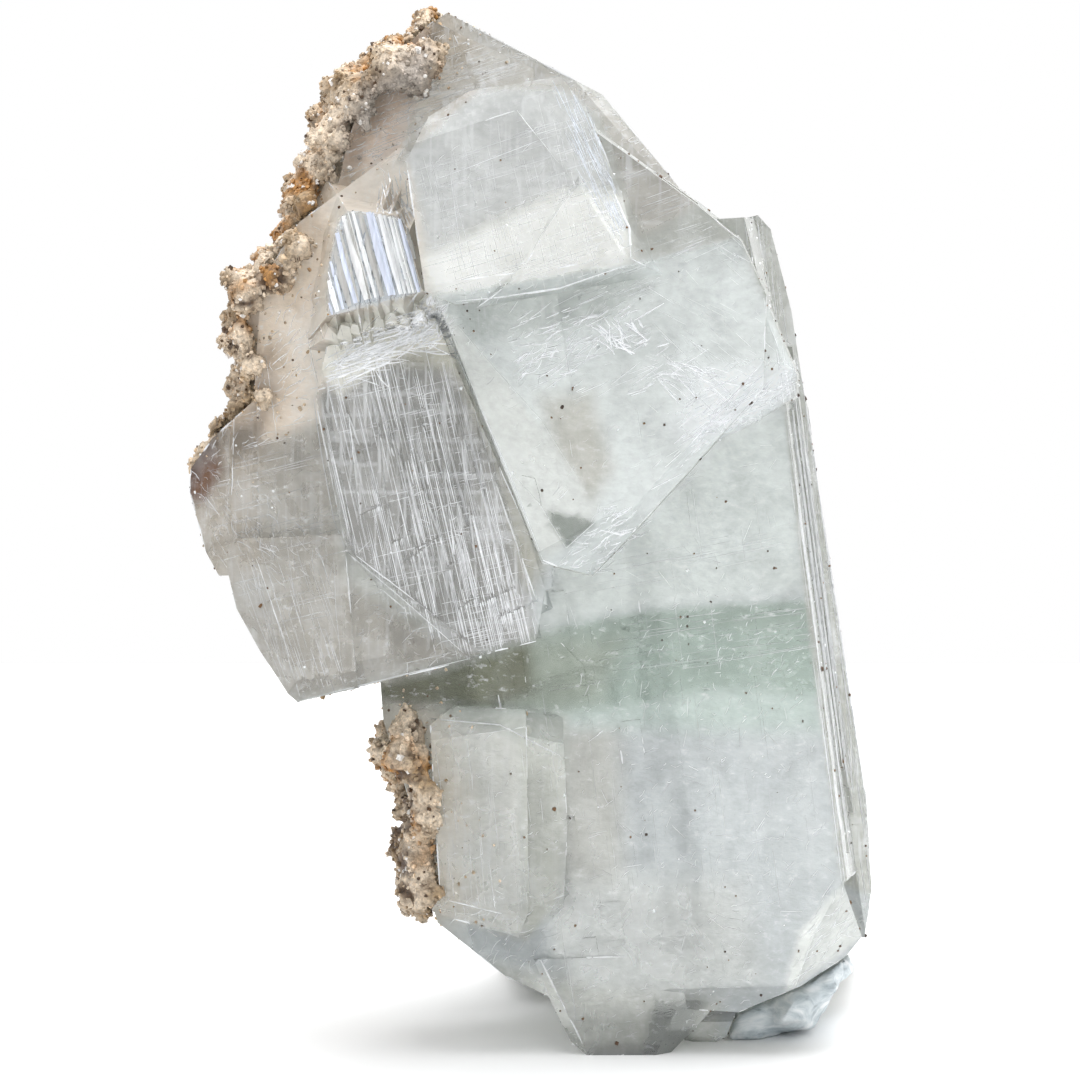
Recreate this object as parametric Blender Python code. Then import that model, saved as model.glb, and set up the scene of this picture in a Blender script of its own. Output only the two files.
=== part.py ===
# Apophyllite cluster: one hand specimen of intergrown apophyllite crystals, with a brown druse crust
# on its left flank and a lump of blue-grey matrix under its right end.
# Metres, +Z up, front towards -Y, standing on Z = 0.
#
# Outlines are drawn as the eye sees the specimen from the front, in millimetres: across to the right
# and up from the lowest point. Depth is the distance behind the middle of the specimen. The eye looks
# down a little, so each outline is carried to its own depth along the line of sight.

import math
import random

import bmesh
import bpy
from mathutils import Matrix, Vector

SPECIMEN_HEIGHT = 90.0
DRAWN_HEIGHT = 90.0
MM = 0.001 * SPECIMEN_HEIGHT / DRAWN_HEIGHT
GAP = 0.3
SIGHT_DOWN_DEG = 11.0
REST_DEPTH = -12.0
ROUGH_BLOCK = 400.0
RIDGE_ROOT = 3.0
CRAG = (0.88, 1.22)
SEED = 41

# Depths of the main front faces, in millimetres.
PRISM_FRONT = -12.0
PRISM_BACK = 19.0
TIP_FRONT = -20.5
BLOCK_FRONT = -25.5
WING_FRONT = -14.2
WING_BACK = -1.5
STRIATED_FRONT = -16.3
KNEE_FRONT = -13.4
CROWN_FRONT = -6.0

SIGHT_SIN = math.sin(math.radians(SIGHT_DOWN_DEG))
SIGHT_COS = math.cos(math.radians(SIGHT_DOWN_DEG))
SIGHT = Vector((0.0, SIGHT_COS, -SIGHT_SIN))


def seen(across, up, depth):
    """The point in metres that the eye sees at (across, up), at this depth."""
    height = (up - (depth - REST_DEPTH) * SIGHT_SIN) / SIGHT_COS
    return Vector((across, depth, height)) * MM


class Crystal:
    """A convex crystal kept as its faces: a point on each face and the direction that the face looks in."""

    def __init__(
        self,
        name,
        outline,
        front,
        back,
        slope=(0.0, 0.0),
        flare=0.0,
        flares=None,
        breaks=(),
        back_slope=(0.0, 0.0),
        cuts=(),
    ):
        self.name = name
        self.faces = []
        self.front = front
        self.slope = slope
        self.middle = (
            sum(p[0] for p in outline) / len(outline),
            sum(p[1] for p in outline) / len(outline),
        )
        self.add_sides(outline, flare, flares or {})
        self.add_front()
        for line in breaks:
            self.add_break(*line)
        self.add_back(back, back_slope)
        for spot, looks in cuts:
            self.faces.append((seen(*spot), Vector(looks).normalized()))
        self.faces.append((Vector((0.0, 0.0, 0.0)), Vector((0.0, 0.0, -1.0))))

    def depth_at(self, across, up):
        return (
            self.front
            + self.slope[0] * (across - self.middle[0])
            + self.slope[1] * (up - self.middle[1])
        )

    def on_front(self, across, up):
        return seen(across, up, self.depth_at(across, up))

    def add_sides(self, outline, flare, flares):
        """A side face on each edge of the outline. A side with flare leans out towards the back."""
        centre = self.on_front(*self.middle)
        for i, start in enumerate(outline):
            a = self.on_front(*start)
            b = self.on_front(*outline[(i + 1) % len(outline)])
            out = (b - a).cross(SIGHT).normalized()
            if out.dot(a - centre) < 0:
                out.negate()
            lean = math.radians(flares.get(i, flare))
            self.faces.append((a, out * math.cos(lean) - SIGHT * math.sin(lean)))

    def ridge(self, name, outline, proud, flare=25.0):
        """A low ridge that stands this much proud of the front face."""
        across = sum(p[0] for p in outline) / len(outline)
        up = sum(p[1] for p in outline) / len(outline)
        front = self.depth_at(across, up) - proud
        return Crystal(name, outline, front, front + RIDGE_ROOT, slope=self.slope, flare=flare)

    def front_normal(self):
        across, up = self.middle
        a = self.on_front(across, up)
        right = self.on_front(across + 1.0, up) - a
        above = self.on_front(across, up + 1.0) - a
        return right.cross(above).normalized()

    def add_front(self):
        self.faces.append((self.on_front(*self.middle), self.front_normal()))

    def add_break(self, start, end, towards, fall_deg):
        """The front face breaks along a line and falls away on the side of the point towards."""
        a = self.on_front(*start)
        b = self.on_front(*end)
        normal = self.front_normal()
        along = (b - a).normalized()
        side = along.cross(normal)
        if side.dot(self.on_front(*towards) - a) < 0:
            side.negate()
        fall = math.radians(fall_deg)
        self.faces.append((a, normal * math.cos(fall) + side * math.sin(fall)))

    def add_back(self, back, slope):
        across, up = self.middle
        a = seen(across, up, back)
        right = seen(across + 1.0, up, back + slope[0]) - a
        above = seen(across, up + 1.0, back + slope[1]) - a
        self.faces.append((a, above.cross(right).normalized()))

    def mesh(self, grow=0.0):
        """The crystal as a mesh, with every face moved out by grow millimetres."""
        bm = bmesh.new()
        bmesh.ops.create_cube(bm, size=ROUGH_BLOCK * MM)
        for point, normal in self.faces:
            geometry = bm.verts[:] + bm.edges[:] + bm.faces[:]
            cut = bmesh.ops.bisect_plane(
                bm,
                geom=geometry,
                dist=1e-7,
                plane_co=point + normal * grow * MM,
                plane_no=normal,
                clear_outer=True,
            )
            rim = [e for e in cut["geom_cut"] if isinstance(e, bmesh.types.BMEdge)]
            if rim:
                bmesh.ops.contextual_create(bm, geom=rim)
        bmesh.ops.recalc_face_normals(bm, faces=bm.faces[:])
        mesh = bpy.data.meshes.new(self.name)
        bm.to_mesh(mesh)
        bm.free()
        return mesh


def main_prism():
    """The long prism, its square foot end and the rounded lobe that it stands on."""
    trunk = Crystal(
        "trunk",
        [
            (-16.0, 66.0), (0.0, 71.0), (17.0, 72.0), (20.5, 56.7),
            (25.5, 15.0), (22.0, 12.6), (-8.6, 13.0), (-13.9, 29.5),
        ],
        PRISM_FRONT,
        PRISM_BACK,
        slope=(-0.1, 0.0),
        flares={2: 3.0, 3: 3.4, 6: -3.0, 7: -6.0},
        back_slope=(0.16, 0.05),
        cuts=[((-13.0, 40.0, 2.0), (-1.0, 1.0, -0.1))],
    )
    root_outline = [
        (-10.0, 14.0), (-9.2, 11.6), (-3.4, 7.0), (1.3, 4.8), (16.6, 3.9),
        (22.0, 6.2), (25.9, 8.8), (27.2, 10.4), (25.5, 15.2), (22.0, 22.0), (-8.0, 20.0),
    ]
    root_middle = [sum(values) / len(root_outline) for values in zip(*root_outline)]
    root = Crystal(
        "root",
        root_outline,
        trunk.depth_at(*root_middle) + 0.06,
        PRISM_BACK - 1.5,
        slope=(-0.1, 0.0),
        breaks=[
            ((25.5, 15.0), (20.6, 6.4), (27.0, 8.0), 42.0),
            ((22.0, 11.0), (0.0, 10.0), (10.0, 3.0), 9.0),
            ((20.6, 7.2), (2.0, 6.6), (10.0, 3.0), 34.0),
            ((-9.0, 13.5), (1.0, 7.2), (-6.0, 8.0), 24.0),
        ],
        cuts=[((-8.0, 12.0, 2.0), (-1.0, 0.8, -0.5))],
    )
    lobe = Crystal(
        "lobe",
        [
            (-1.0, 8.5), (0.6, 4.6), (2.2, 1.4), (3.8, 0.0),
            (10.6, 0.0), (12.6, 2.2), (14.8, 4.4), (14.6, 9.0),
        ],
        PRISM_FRONT + 0.7,
        -1.0,
        slope=(0.0, -0.1),
        breaks=[
            ((9.4, 0.0), (11.6, 4.8), (13.4, 2.0), 44.0),
            ((0.6, 6.4), (3.6, 0.4), (0.6, 2.0), 35.0),
        ],
    )
    toe = Crystal(
        "toe",
        [(11.6, 3.2), (12.0, 1.4), (14.2, 1.0), (15.6, 1.7), (16.6, 4.2), (14.0, 6.0)],
        -6.5,
        4.0,
        breaks=[((12.0, 3.0), (16.0, 3.0), (14.0, 1.0), 30.0)],
    )
    heel = Crystal(
        "rest_heel",
        [(-3.6, 9.0), (-2.0, 6.0), (1.0, 4.6), (22.0, 4.6), (24.0, 12.0), (-2.0, 16.0)],
        12.0,
        PRISM_BACK + 6.0,
        back_slope=(-0.04, -0.2),
    )
    return [trunk, root, lobe, toe, heel]


def prism_flank():
    """The slab that shows behind the prism on the right, and the long ridges down its narrow side."""
    slab = Crystal(
        "back_slab",
        [
            (14.9, 71.6), (18.3, 72.4), (19.4, 71.2), (21.2, 64.2), (27.7, 22.0),
            (28.2, 14.4), (27.6, 10.2), (16.0, 8.0), (8.0, 60.0),
        ],
        5.0,
        PRISM_BACK + 8.0,
        slope=(-0.25, 0.0),
        breaks=[((18.2, 72.0), (25.6, 24.0), (27.0, 40.0), 30.0)],
        back_slope=(-0.06, -0.05),
    )
    rng = random.Random(SEED)
    ridges = []
    for step in range(6):
        depth = -9.0 + step * 3.6
        top = 57.0 + rng.uniform(-6.0, 6.0)
        low = 18.0 + rng.uniform(-4.0, 12.0)
        proud = 0.05 + 0.3 * rng.random() + 0.25 * step
        ridges.append(
            Crystal(
                f"flank_ridge_{step}",
                [
                    (15.0, top),
                    (20.9 + (57.0 - top) * 0.12 + proud, top),
                    (20.9 + (57.0 - low) * 0.12 + proud, low),
                    (15.0, low),
                ],
                depth,
                depth + 1.6 + rng.random(),
                flare=3.0,
            )
        )
    return [slab] + ridges


def pointed_crystal():
    """The clear crystal whose tip points down over the prism, with the fractured shoulder on its right."""
    tip = Crystal(
        "tip",
        [
            (-9.3, 64.6), (-3.2, 50.1), (-0.2, 42.6), (4.0, 41.6), (8.2, 45.8), (13.4, 51.6),
            (18.6, 57.2), (18.9, 65.2), (16.5, 70.4), (12.5, 73.3), (4.7, 79.7), (-6.0, 77.0),
        ],
        TIP_FRONT,
        2.0,
        slope=(0.03, -0.05),
        flare=1.5,
        breaks=[
            ((-8.2, 64.0), (3.4, 48.8), (-6.0, 52.0), 17.0),
            ((3.4, 48.8), (4.4, 41.8), (0.0, 45.0), 24.0),
            ((1.6, 46.0), (7.6, 46.8), (5.0, 42.0), 36.0),
            ((4.2, 43.4), (13.6, 54.0), (10.0, 45.0), 30.0),
        ],
    )
    shoulder = Crystal(
        "shoulder",
        [
            (13.6, 51.9), (17.3, 54.2), (20.4, 55.6), (21.4, 56.8), (21.5, 58.6),
            (18.9, 64.8), (16.6, 70.4), (12.0, 70.0), (8.0, 62.0),
        ],
        TIP_FRONT + 2.4,
        6.0,
        slope=(0.14, 0.02),
        flare=1.0,
        breaks=[
            ((13.2, 55.4), (20.6, 59.2), (18.0, 54.0), 36.0),
            ((16.2, 70.0), (20.6, 59.0), (20.0, 66.0), 40.0),
        ],
    )
    return [tip, shoulder]


def top_block():
    """The blocky crystal in front at the top, with a chipped right edge and a bevelled lower end."""
    block = Crystal(
        "block",
        [
            (-10.2, 65.6), (-11.8, 76.6), (-9.9, 80.4), (-6.4, 82.6), (1.3, 83.8), (3.4, 81.4),
            (6.6, 73.6), (7.3, 70.4), (7.2, 67.9), (1.2, 65.8), (-7.6, 64.5),
        ],
        BLOCK_FRONT,
        -4.0,
        slope=(-0.05, 0.05),
        breaks=[
            ((-0.4, 78.4), (5.6, 70.8), (7.0, 78.0), 26.0),
            ((-2.0, 67.2), (6.8, 68.4), (2.0, 65.0), 40.0),
            ((-11.0, 78.2), (2.2, 82.4), (-4.0, 84.0), 32.0),
            ((-9.8, 66.2), (-2.0, 67.2), (-6.0, 64.0), 34.0),
        ],
    )
    wedge_outline = [(-2.0, 67.3), (-0.4, 70.6), (2.6, 75.0), (6.2, 68.6)]
    wedge = block.ridge("block_wedge", wedge_outline, 0.55, flare=30.0)
    return [block, wedge]


def crown():
    """The wedge crystal behind the block, rising to the peak of the specimen."""
    wedge = Crystal(
        "crown",
        [
            (-9.4, 88.9), (-8.4, 89.6), (4.9, 82.6), (7.7, 79.2), (11.9, 74.1),
            (13.8, 71.4), (14.0, 58.0), (-9.0, 60.0), (-11.6, 72.0), (-11.6, 84.0),
        ],
        CROWN_FRONT,
        11.0,
        slope=(0.03, 0.3),
        breaks=[((3.6, 82.6), (14.6, 70.0), (12.0, 80.0), 32.0)],
        back_slope=(0.0, -0.25),
    )
    brow = Crystal(
        "brow",
        [
            (-9.6, 88.8), (-12.6, 86.0), (-15.4, 83.0), (-17.0, 78.0),
            (-18.2, 72.0), (-16.0, 70.0), (-1.0, 79.0), (-1.0, 84.8),
        ],
        CROWN_FRONT - 2.4,
        3.0,
        slope=(0.05, 0.15),
        breaks=[((-8.4, 89.0), (-4.0, 79.0), (-1.0, 85.0), 25.0)],
    )
    saddle = Crystal(
        "saddle",
        [
            (-16.4, 74.4), (-12.2, 78.4), (-9.6, 80.6), (-6.6, 82.2), (3.0, 80.4),
            (9.0, 75.9), (15.2, 71.2), (16.8, 69.6), (10.0, 60.0), (-12.0, 62.0),
        ],
        -12.4,
        0.0,
        slope=(0.0, 0.22),
        breaks=[((-13.4, 78.4), (-6.0, 82.4), (-12.0, 82.0), 30.0)],
    )
    return [wedge, brow, saddle]


def wing():
    """The striated mass on the left: the broad crystal, its square lower end and the shelf under it."""
    broad = Crystal(
        "wing",
        [
            (-24.2, 66.6), (-21.0, 71.6), (-12.3, 78.0), (-5.0, 74.0), (1.6, 56.0),
            (0.6, 40.4), (-4.0, 37.8), (-18.5, 38.6), (-24.2, 41.0), (-24.8, 58.5),
        ],
        WING_FRONT,
        WING_BACK,
        slope=(-0.07, 0.03),
        breaks=[((-24.4, 60.0), (-13.0, 76.4), (-22.0, 72.0), 20.0)],
        back_slope=(0.1, 0.0),
    )
    shoulder = Crystal(
        "wing_shoulder",
        [
            (-19.6, 69.6), (-23.4, 67.6), (-25.6, 65.0), (-25.3, 61.4),
            (-24.0, 54.6), (-22.0, 52.0), (-19.0, 52.0),
        ],
        WING_FRONT + 1.6,
        WING_BACK - 1.0,
        slope=(-0.2, 0.02),
    )
    corner = Crystal(
        "wing_corner",
        [
            (-24.4, 56.8), (-28.4, 53.2), (-30.3, 50.6), (-30.4, 48.6), (-29.0, 43.4),
            (-27.9, 41.4), (-25.4, 41.5), (-21.1, 42.7), (-20.2, 56.5),
        ],
        WING_FRONT + 1.0,
        WING_BACK - 1.5,
        slope=(-0.1, 0.0),
        breaks=[((-27.0, 42.0), (-26.6, 54.4), (-29.6, 49.0), 30.0)],
    )
    end = Crystal(
        "wing_end",
        [
            (-27.3, 42.4), (-26.4, 44.6), (-17.2, 45.0), (-16.0, 31.8),
            (-21.2, 30.6), (-22.0, 31.3), (-24.4, 35.0), (-26.4, 38.6),
        ],
        WING_FRONT - 1.3,
        WING_BACK + 0.5,
        slope=(-0.06, 0.02),
        breaks=[
            ((-24.6, 42.6), (-20.9, 31.6), (-26.0, 36.0), 34.0),
            ((-21.4, 32.4), (-16.4, 33.2), (-18.0, 31.0), 40.0),
        ],
    )
    shelf = Crystal(
        "wing_shelf",
        [(-18.1, 44.0), (-0.4, 44.5), (0.0, 40.2), (-1.2, 35.9), (-7.3, 34.0), (-16.3, 31.8)],
        WING_FRONT - 0.6,
        0.0,
        slope=(-0.04, 0.05),
        breaks=[((-16.2, 34.0), (-1.0, 38.0), (-8.0, 33.0), 26.0)],
    )
    striated = Crystal(
        "striated",
        [
            (-19.6, 56.4), (-18.6, 61.0), (-9.4, 63.4), (-1.4, 45.0), (0.0, 40.2),
            (-0.8, 35.8), (-6.0, 34.5), (-7.2, 34.6), (-14.4, 40.6), (-17.0, 43.6),
        ],
        STRIATED_FRONT,
        -4.0,
        slope=(0.02, -0.04),
        breaks=[
            ((-18.6, 57.0), (-16.2, 43.4), (-19.0, 50.0), 36.0),
            ((-16.0, 43.0), (-6.6, 35.8), (-13.0, 38.0), 42.0),
            ((-18.0, 59.2), (-9.6, 61.6), (-14.0, 63.0), 32.0),
        ],
    )
    return [broad, shoulder, corner, end, shelf, striated] + striation_ribs(striated)


def striation_ribs(host):
    """Growth ribs along the striated crystal, with random widths and ends."""
    rng = random.Random(SEED + 1)
    ribs = []
    across = -18.0
    lean = math.tan(math.radians(13.0))
    while across < -8.6:
        width = rng.uniform(0.4, 0.95)
        top = 59.2 + (across + 18.0) * 0.25 + rng.uniform(-3.0, 0.6)
        low = max(45.6 - (across + 18.0) * 1.15 + rng.uniform(0.0, 4.0), 36.4)
        shift = (top - low) * lean
        outline = [
            (across, top),
            (across + width, top + 0.3),
            (across + width + shift, low + 0.3),
            (across + shift, low),
        ]
        ribs.append(host.ridge(f"rib_{len(ribs)}", outline, rng.uniform(0.16, 0.4)))
        across += width + rng.uniform(0.3, 0.8)
    return ribs


def silver_patch():
    """The brightly striped cleavage patch beside the block, and the splintered ledge under it."""
    patch = Crystal(
        "silver_patch",
        [
            (-18.6, 63.4), (-17.9, 69.4), (-16.9, 72.5), (-12.5, 72.0),
            (-11.6, 69.9), (-10.6, 65.7), (-12.9, 64.9),
        ],
        WING_FRONT - 2.6,
        -6.0,
        slope=(0.08, 0.1),
        flare=18.0,
    )
    rng = random.Random(SEED + 2)
    pieces = [patch]
    across = -18.2
    while across < -12.2:
        width = rng.uniform(0.3, 0.55)
        outline = [
            (across, 64.2 + rng.uniform(0.0, 1.0)),
            (across + width, 64.2),
            (across + width + 0.9, 70.6 + rng.uniform(0.0, 0.8)),
            (across + 0.9, 70.6),
        ]
        pieces.append(patch.ridge(f"silver_rib_{len(pieces)}", outline, rng.uniform(0.18, 0.35)))
        across += width + rng.uniform(0.35, 0.7)
    for splinter in range(9):
        across = -18.9 + splinter * 1.08
        up = 61.2 + splinter * 0.34 + rng.uniform(-0.5, 0.5)
        size = rng.uniform(0.7, 1.3)
        pieces.append(
            Crystal(
                f"splinter_{splinter}",
                [
                    (across, up),
                    (across + size * 0.3, up + size),
                    (across + size, up + size * 0.8),
                    (across + size * 1.1, up - size * 0.2),
                ],
                STRIATED_FRONT - rng.uniform(0.2, 0.9),
                -12.0,
                slope=(rng.uniform(-0.2, 0.3), rng.uniform(-0.3, 0.1)),
                flare=16.0,
            )
        )
    return pieces


def knee():
    """The square block low on the left, split by an upright edge, with a bevelled top."""
    left = Crystal(
        "knee_left",
        [(-9.9, 28.6), (-7.7, 30.3), (-1.6, 29.9), (-1.4, 12.6), (-2.3, 10.4), (-9.0, 12.3), (-9.5, 22.0)],
        KNEE_FRONT,
        0.0,
        slope=(-0.1, 0.0),
        breaks=[
            ((-9.0, 27.4), (-2.0, 28.4), (-6.0, 30.0), 36.0),
            ((-8.6, 13.6), (-2.0, 12.0), (-5.0, 11.0), 30.0),
        ],
    )
    right = Crystal(
        "knee_right",
        [(-2.2, 29.8), (1.5, 29.4), (1.9, 19.5), (1.6, 13.1), (0.0, 11.2), (-2.3, 10.5)],
        KNEE_FRONT + 0.1,
        0.0,
        slope=(0.18, 0.0),
        breaks=[
            ((-2.2, 27.8), (1.6, 27.0), (0.0, 30.0), 34.0),
            ((-2.0, 12.6), (1.6, 14.0), (0.0, 11.0), 30.0),
        ],
    )
    return [left, right]


def hidden_side():
    """The side that faces away: broad prism faces that step back, with square crystals grown out of them."""
    step = Crystal(
        "back_step",
        [(-7.0, 24.0), (-10.0, 60.0), (10.0, 67.0), (15.0, 22.0)],
        0.0,
        PRISM_BACK + 3.4,
        flare=-8.0,
        back_slope=(0.06, 0.03),
    )
    square = Crystal(
        "back_square",
        [(0.0, 45.0), (-4.0, 62.0), (12.0, 67.5), (17.0, 49.0)],
        0.0,
        PRISM_BACK + 7.4,
        flare=-4.0,
        back_slope=(0.08, -0.08),
    )
    plate = Crystal(
        "back_plate",
        [(-3.0, 15.0), (-6.0, 35.0), (9.0, 40.0), (14.0, 17.0)],
        0.0,
        PRISM_BACK + 5.2,
        flare=-7.0,
        back_slope=(-0.05, 0.1),
    )
    small = Crystal(
        "back_small",
        [(-19.0, 42.0), (-21.5, 53.0), (-11.5, 56.0), (-9.0, 45.0)],
        -4.0,
        WING_BACK + 5.0,
        flare=-6.0,
        back_slope=(-0.1, 0.1),
    )
    return [step, square, plate, small]


# Lumps of the crust: across, up and half width as seen, in millimetres, from the peak down the left flank.
PEAK_LUMPS = [
    (-9.9, 86.5, 2.2), (-13.2, 85.0, 2.3), (-16.0, 82.6, 2.3), (-17.4, 79.4, 2.2), (-18.6, 76.2, 2.2),
    (-19.8, 73.2, 2.1), (-20.8, 70.8, 2.0),
]
INNER_LUMPS = [
    (-10.6, 84.4, 1.7), (-13.6, 81.4, 1.9), (-15.6, 78.0, 1.8), (-16.4, 74.8, 1.8), (-17.8, 71.8, 1.7),
]
FLANK_LUMPS = [
    (-21.4, 70.0, 2.0), (-23.4, 67.6, 1.9), (-25.2, 65.2, 1.9), (-25.3, 62.4, 2.0), (-24.2, 59.8, 1.9),
    (-23.9, 57.0, 1.9), (-25.5, 54.6, 1.8), (-27.0, 52.7, 1.6), (-28.4, 50.8, 1.4), (-28.9, 48.9, 1.1),
]
LOWER_LUMPS = [
    (-11.7, 28.2, 2.0), (-11.7, 25.5, 2.1), (-10.3, 22.8, 1.9), (-9.6, 20.4, 1.8),
    (-10.8, 17.5, 2.2), (-10.3, 15.2, 2.0),
]
PEAK_CRUST_DEPTHS = (-8.8, 7.5)
INNER_CRUST_DEPTHS = (-8.8, -1.0)
FLANK_CRUST_DEPTHS = (-12.6, 4.5)
LOWER_CRUST_DEPTHS = (-12.8, 4.0)
GRAIN_HALVES = (0.5, 1.1)
GRAIN_SEAT = 0.9


def finished_mesh(bm, matrix, name):
    """The shape put in its place, as a mesh with flat triangles that face out."""
    bmesh.ops.transform(bm, matrix=matrix, verts=bm.verts[:])
    bmesh.ops.triangulate(bm, faces=bm.faces[:])
    bmesh.ops.recalc_face_normals(bm, faces=bm.faces[:])
    mesh = bpy.data.meshes.new(name)
    bm.to_mesh(mesh)
    bm.free()
    return mesh


def turned(rng):
    turn = Matrix.Identity(4)
    for axis in "XYZ":
        turn = turn @ Matrix.Rotation(rng.uniform(0.0, math.pi), 4, axis)
    return turn


def lump_mesh(rng, centre, radii, name, subdivisions=1):
    """A craggy lump: an icosphere turned at random, with its corners pushed in and out."""
    bm = bmesh.new()
    bmesh.ops.create_icosphere(bm, subdivisions=subdivisions, radius=1.0)
    for vertex in bm.verts:
        vertex.co *= rng.uniform(*CRAG)
    size = Matrix.Diagonal((radii[0] * MM, radii[1] * MM, radii[2] * MM, 1.0))
    return finished_mesh(bm, Matrix.Translation(centre) @ size @ turned(rng), name)


def grain_mesh(rng, centre, half, name):
    """One small blocky crystal of the druse, turned at random."""
    bm = bmesh.new()
    bmesh.ops.create_cube(bm, size=2.0 * half * MM)
    stretch = Matrix.Diagonal((1.0, rng.uniform(0.8, 1.2), rng.uniform(0.9, 1.5), 1.0))
    return finished_mesh(bm, Matrix.Translation(centre) @ turned(rng) @ stretch, name)


def crust_meshes(name, lumps, depths, rows, grains_each, seed):
    """The lumps of a crust, some rows deep, with small crystals on their outer sides."""
    rng = random.Random(seed)
    front, back = depths
    row_depth = (back - front) / rows
    meshes = []
    for number, (across, up, half) in enumerate(lumps):
        for row in range(rows):
            depth = front + (row + 0.5) * row_depth + rng.uniform(-0.8, 0.8)
            radii = (
                half * rng.uniform(0.85, 1.12),
                row_depth * rng.uniform(0.7, 0.95),
                half * rng.uniform(0.95, 1.3),
            )
            centre = seen(across + rng.uniform(-0.5, 0.5), up + rng.uniform(-0.6, 0.6), depth)
            meshes.append(lump_mesh(rng, centre, radii, f"{name}_lump_{number}_{row}"))
            for grain in range(grains_each):
                side = rng.uniform(0.45 * math.pi, 1.35 * math.pi)
                along = rng.uniform(-0.75, 0.75)
                out = math.sqrt(1.0 - along * along)
                offset = (
                    radii[0] * out * math.cos(side),
                    radii[1] * along,
                    radii[2] * out * math.sin(side),
                )
                half_grain = rng.uniform(*GRAIN_HALVES)
                grain_name = f"{name}_grain_{number}_{row}_{grain}"
                spot = centre + Vector(offset) * MM * GRAIN_SEAT
                meshes.append(grain_mesh(rng, spot, half_grain, grain_name))
    return meshes


def foot_meshes():
    """The lumps of the matrix under the right end."""
    rng = random.Random(SEED + 3)
    spots = [
        (14.8, 2.9, 2.4, -1.0, 4.6),
        (17.8, 3.7, 2.9, 0.5, 6.4),
        (21.2, 5.4, 3.0, 1.0, 7.0),
        (23.6, 8.0, 2.4, 1.5, 6.0),
    ]
    return [
        lump_mesh(rng, seen(across, up, depth), (half * 1.15, reach, half), f"foot_lump_{number}", 2)
        for number, (across, up, half, depth, reach) in enumerate(spots)
    ]


def remove_startup_objects():
    for obj in list(bpy.data.objects):
        bpy.data.objects.remove(obj, do_unlink=True)


def new_collection(name):
    collection = bpy.data.collections.new(name)
    bpy.context.scene.collection.children.link(collection)
    return collection


def principled(name, colour, roughness, transmission=0.0):
    material = bpy.data.materials.new(name)
    material.use_nodes = True
    shader = material.node_tree.nodes["Principled BSDF"]
    shader.inputs["Base Color"].default_value = (*colour, 1.0)
    shader.inputs["Roughness"].default_value = roughness
    shader.inputs["Metallic"].default_value = 0.0
    shader.inputs["Transmission Weight"].default_value = transmission
    shader.inputs["IOR"].default_value = 1.535
    return material


def helper(mesh, collection):
    """An object that only takes part in joins and cuts."""
    obj = bpy.data.objects.new(mesh.name, mesh)
    collection.objects.link(obj)
    obj.hide_render = True
    obj.display_type = "WIRE"
    return obj


def joined(name, meshes, collection, helpers, material):
    """One object made of the first mesh, united with all the others."""
    obj = bpy.data.objects.new(name, meshes[0])
    collection.objects.link(obj)
    obj.data.materials.append(material)
    for mesh in meshes[1:]:
        helper(mesh, helpers)
    if len(meshes) > 1:
        unite = obj.modifiers.new("grown together", "BOOLEAN")
        unite.operation = "UNION"
        unite.operand_type = "COLLECTION"
        unite.collection = helpers
        unite.solver = "EXACT"
    return obj


def clear_of(obj, cutters):
    """Keeps a node clear of the crystals, by cutting it with the crystals grown by the gap."""
    cut = obj.modifiers.new("clear of the crystals", "BOOLEAN")
    cut.operation = "DIFFERENCE"
    cut.operand_type = "COLLECTION"
    cut.collection = cutters
    cut.solver = "EXACT"


def body_of(vertex):
    """All the vertices that edges join to this one."""
    found = {vertex}
    waiting = [vertex]
    while waiting:
        for edge in waiting.pop().link_edges:
            for other in edge.verts:
                if other not in found:
                    found.add(other)
                    waiting.append(other)
    return found


def without_chips(obj):
    """Makes the modifiers' result the object's own mesh, and drops the chips that the cuts left loose."""
    bpy.context.view_layer.update()
    result = bpy.data.meshes.new_from_object(obj.evaluated_get(bpy.context.evaluated_depsgraph_get()))
    bm = bmesh.new()
    bm.from_mesh(result)
    left = set(bm.verts)
    bodies = []
    while left:
        body = body_of(next(iter(left)))
        bodies.append(body)
        left -= body
    largest = max(bodies, key=len)
    loose = [vertex for body in bodies if body is not largest for vertex in body]
    bmesh.ops.delete(bm, geom=loose, context="VERTS")
    bm.to_mesh(result)
    bm.free()
    result.name = obj.name
    obj.modifiers.clear()
    obj.data = result


def centre_on_origin(objects):
    """Moves the objects together, so that the specimen's box is centred over the origin."""
    corners = [Vector(corner) for obj in objects for corner in obj.bound_box]
    lowest = [min(corner[axis] for corner in corners) for axis in range(2)]
    highest = [max(corner[axis] for corner in corners) for axis in range(2)]
    middle = [(low + high) / 2 for low, high in zip(lowest, highest)]
    for obj in objects:
        obj.location = (-middle[0], -middle[1], 0.0)


def above_ground(meshes):
    """Cuts each lump off at the surface that the specimen stands on."""
    for mesh in meshes:
        bm = bmesh.new()
        bm.from_mesh(mesh)
        cut = bmesh.ops.bisect_plane(
            bm,
            geom=bm.verts[:] + bm.edges[:] + bm.faces[:],
            plane_co=(0.0, 0.0, 0.0),
            plane_no=(0.0, 0.0, -1.0),
            clear_outer=True,
        )
        rim = [e for e in cut["geom_cut"] if isinstance(e, bmesh.types.BMEdge)]
        if rim:
            bmesh.ops.contextual_create(bm, geom=rim)
        bm.to_mesh(mesh)
        bm.free()
    return meshes


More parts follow.
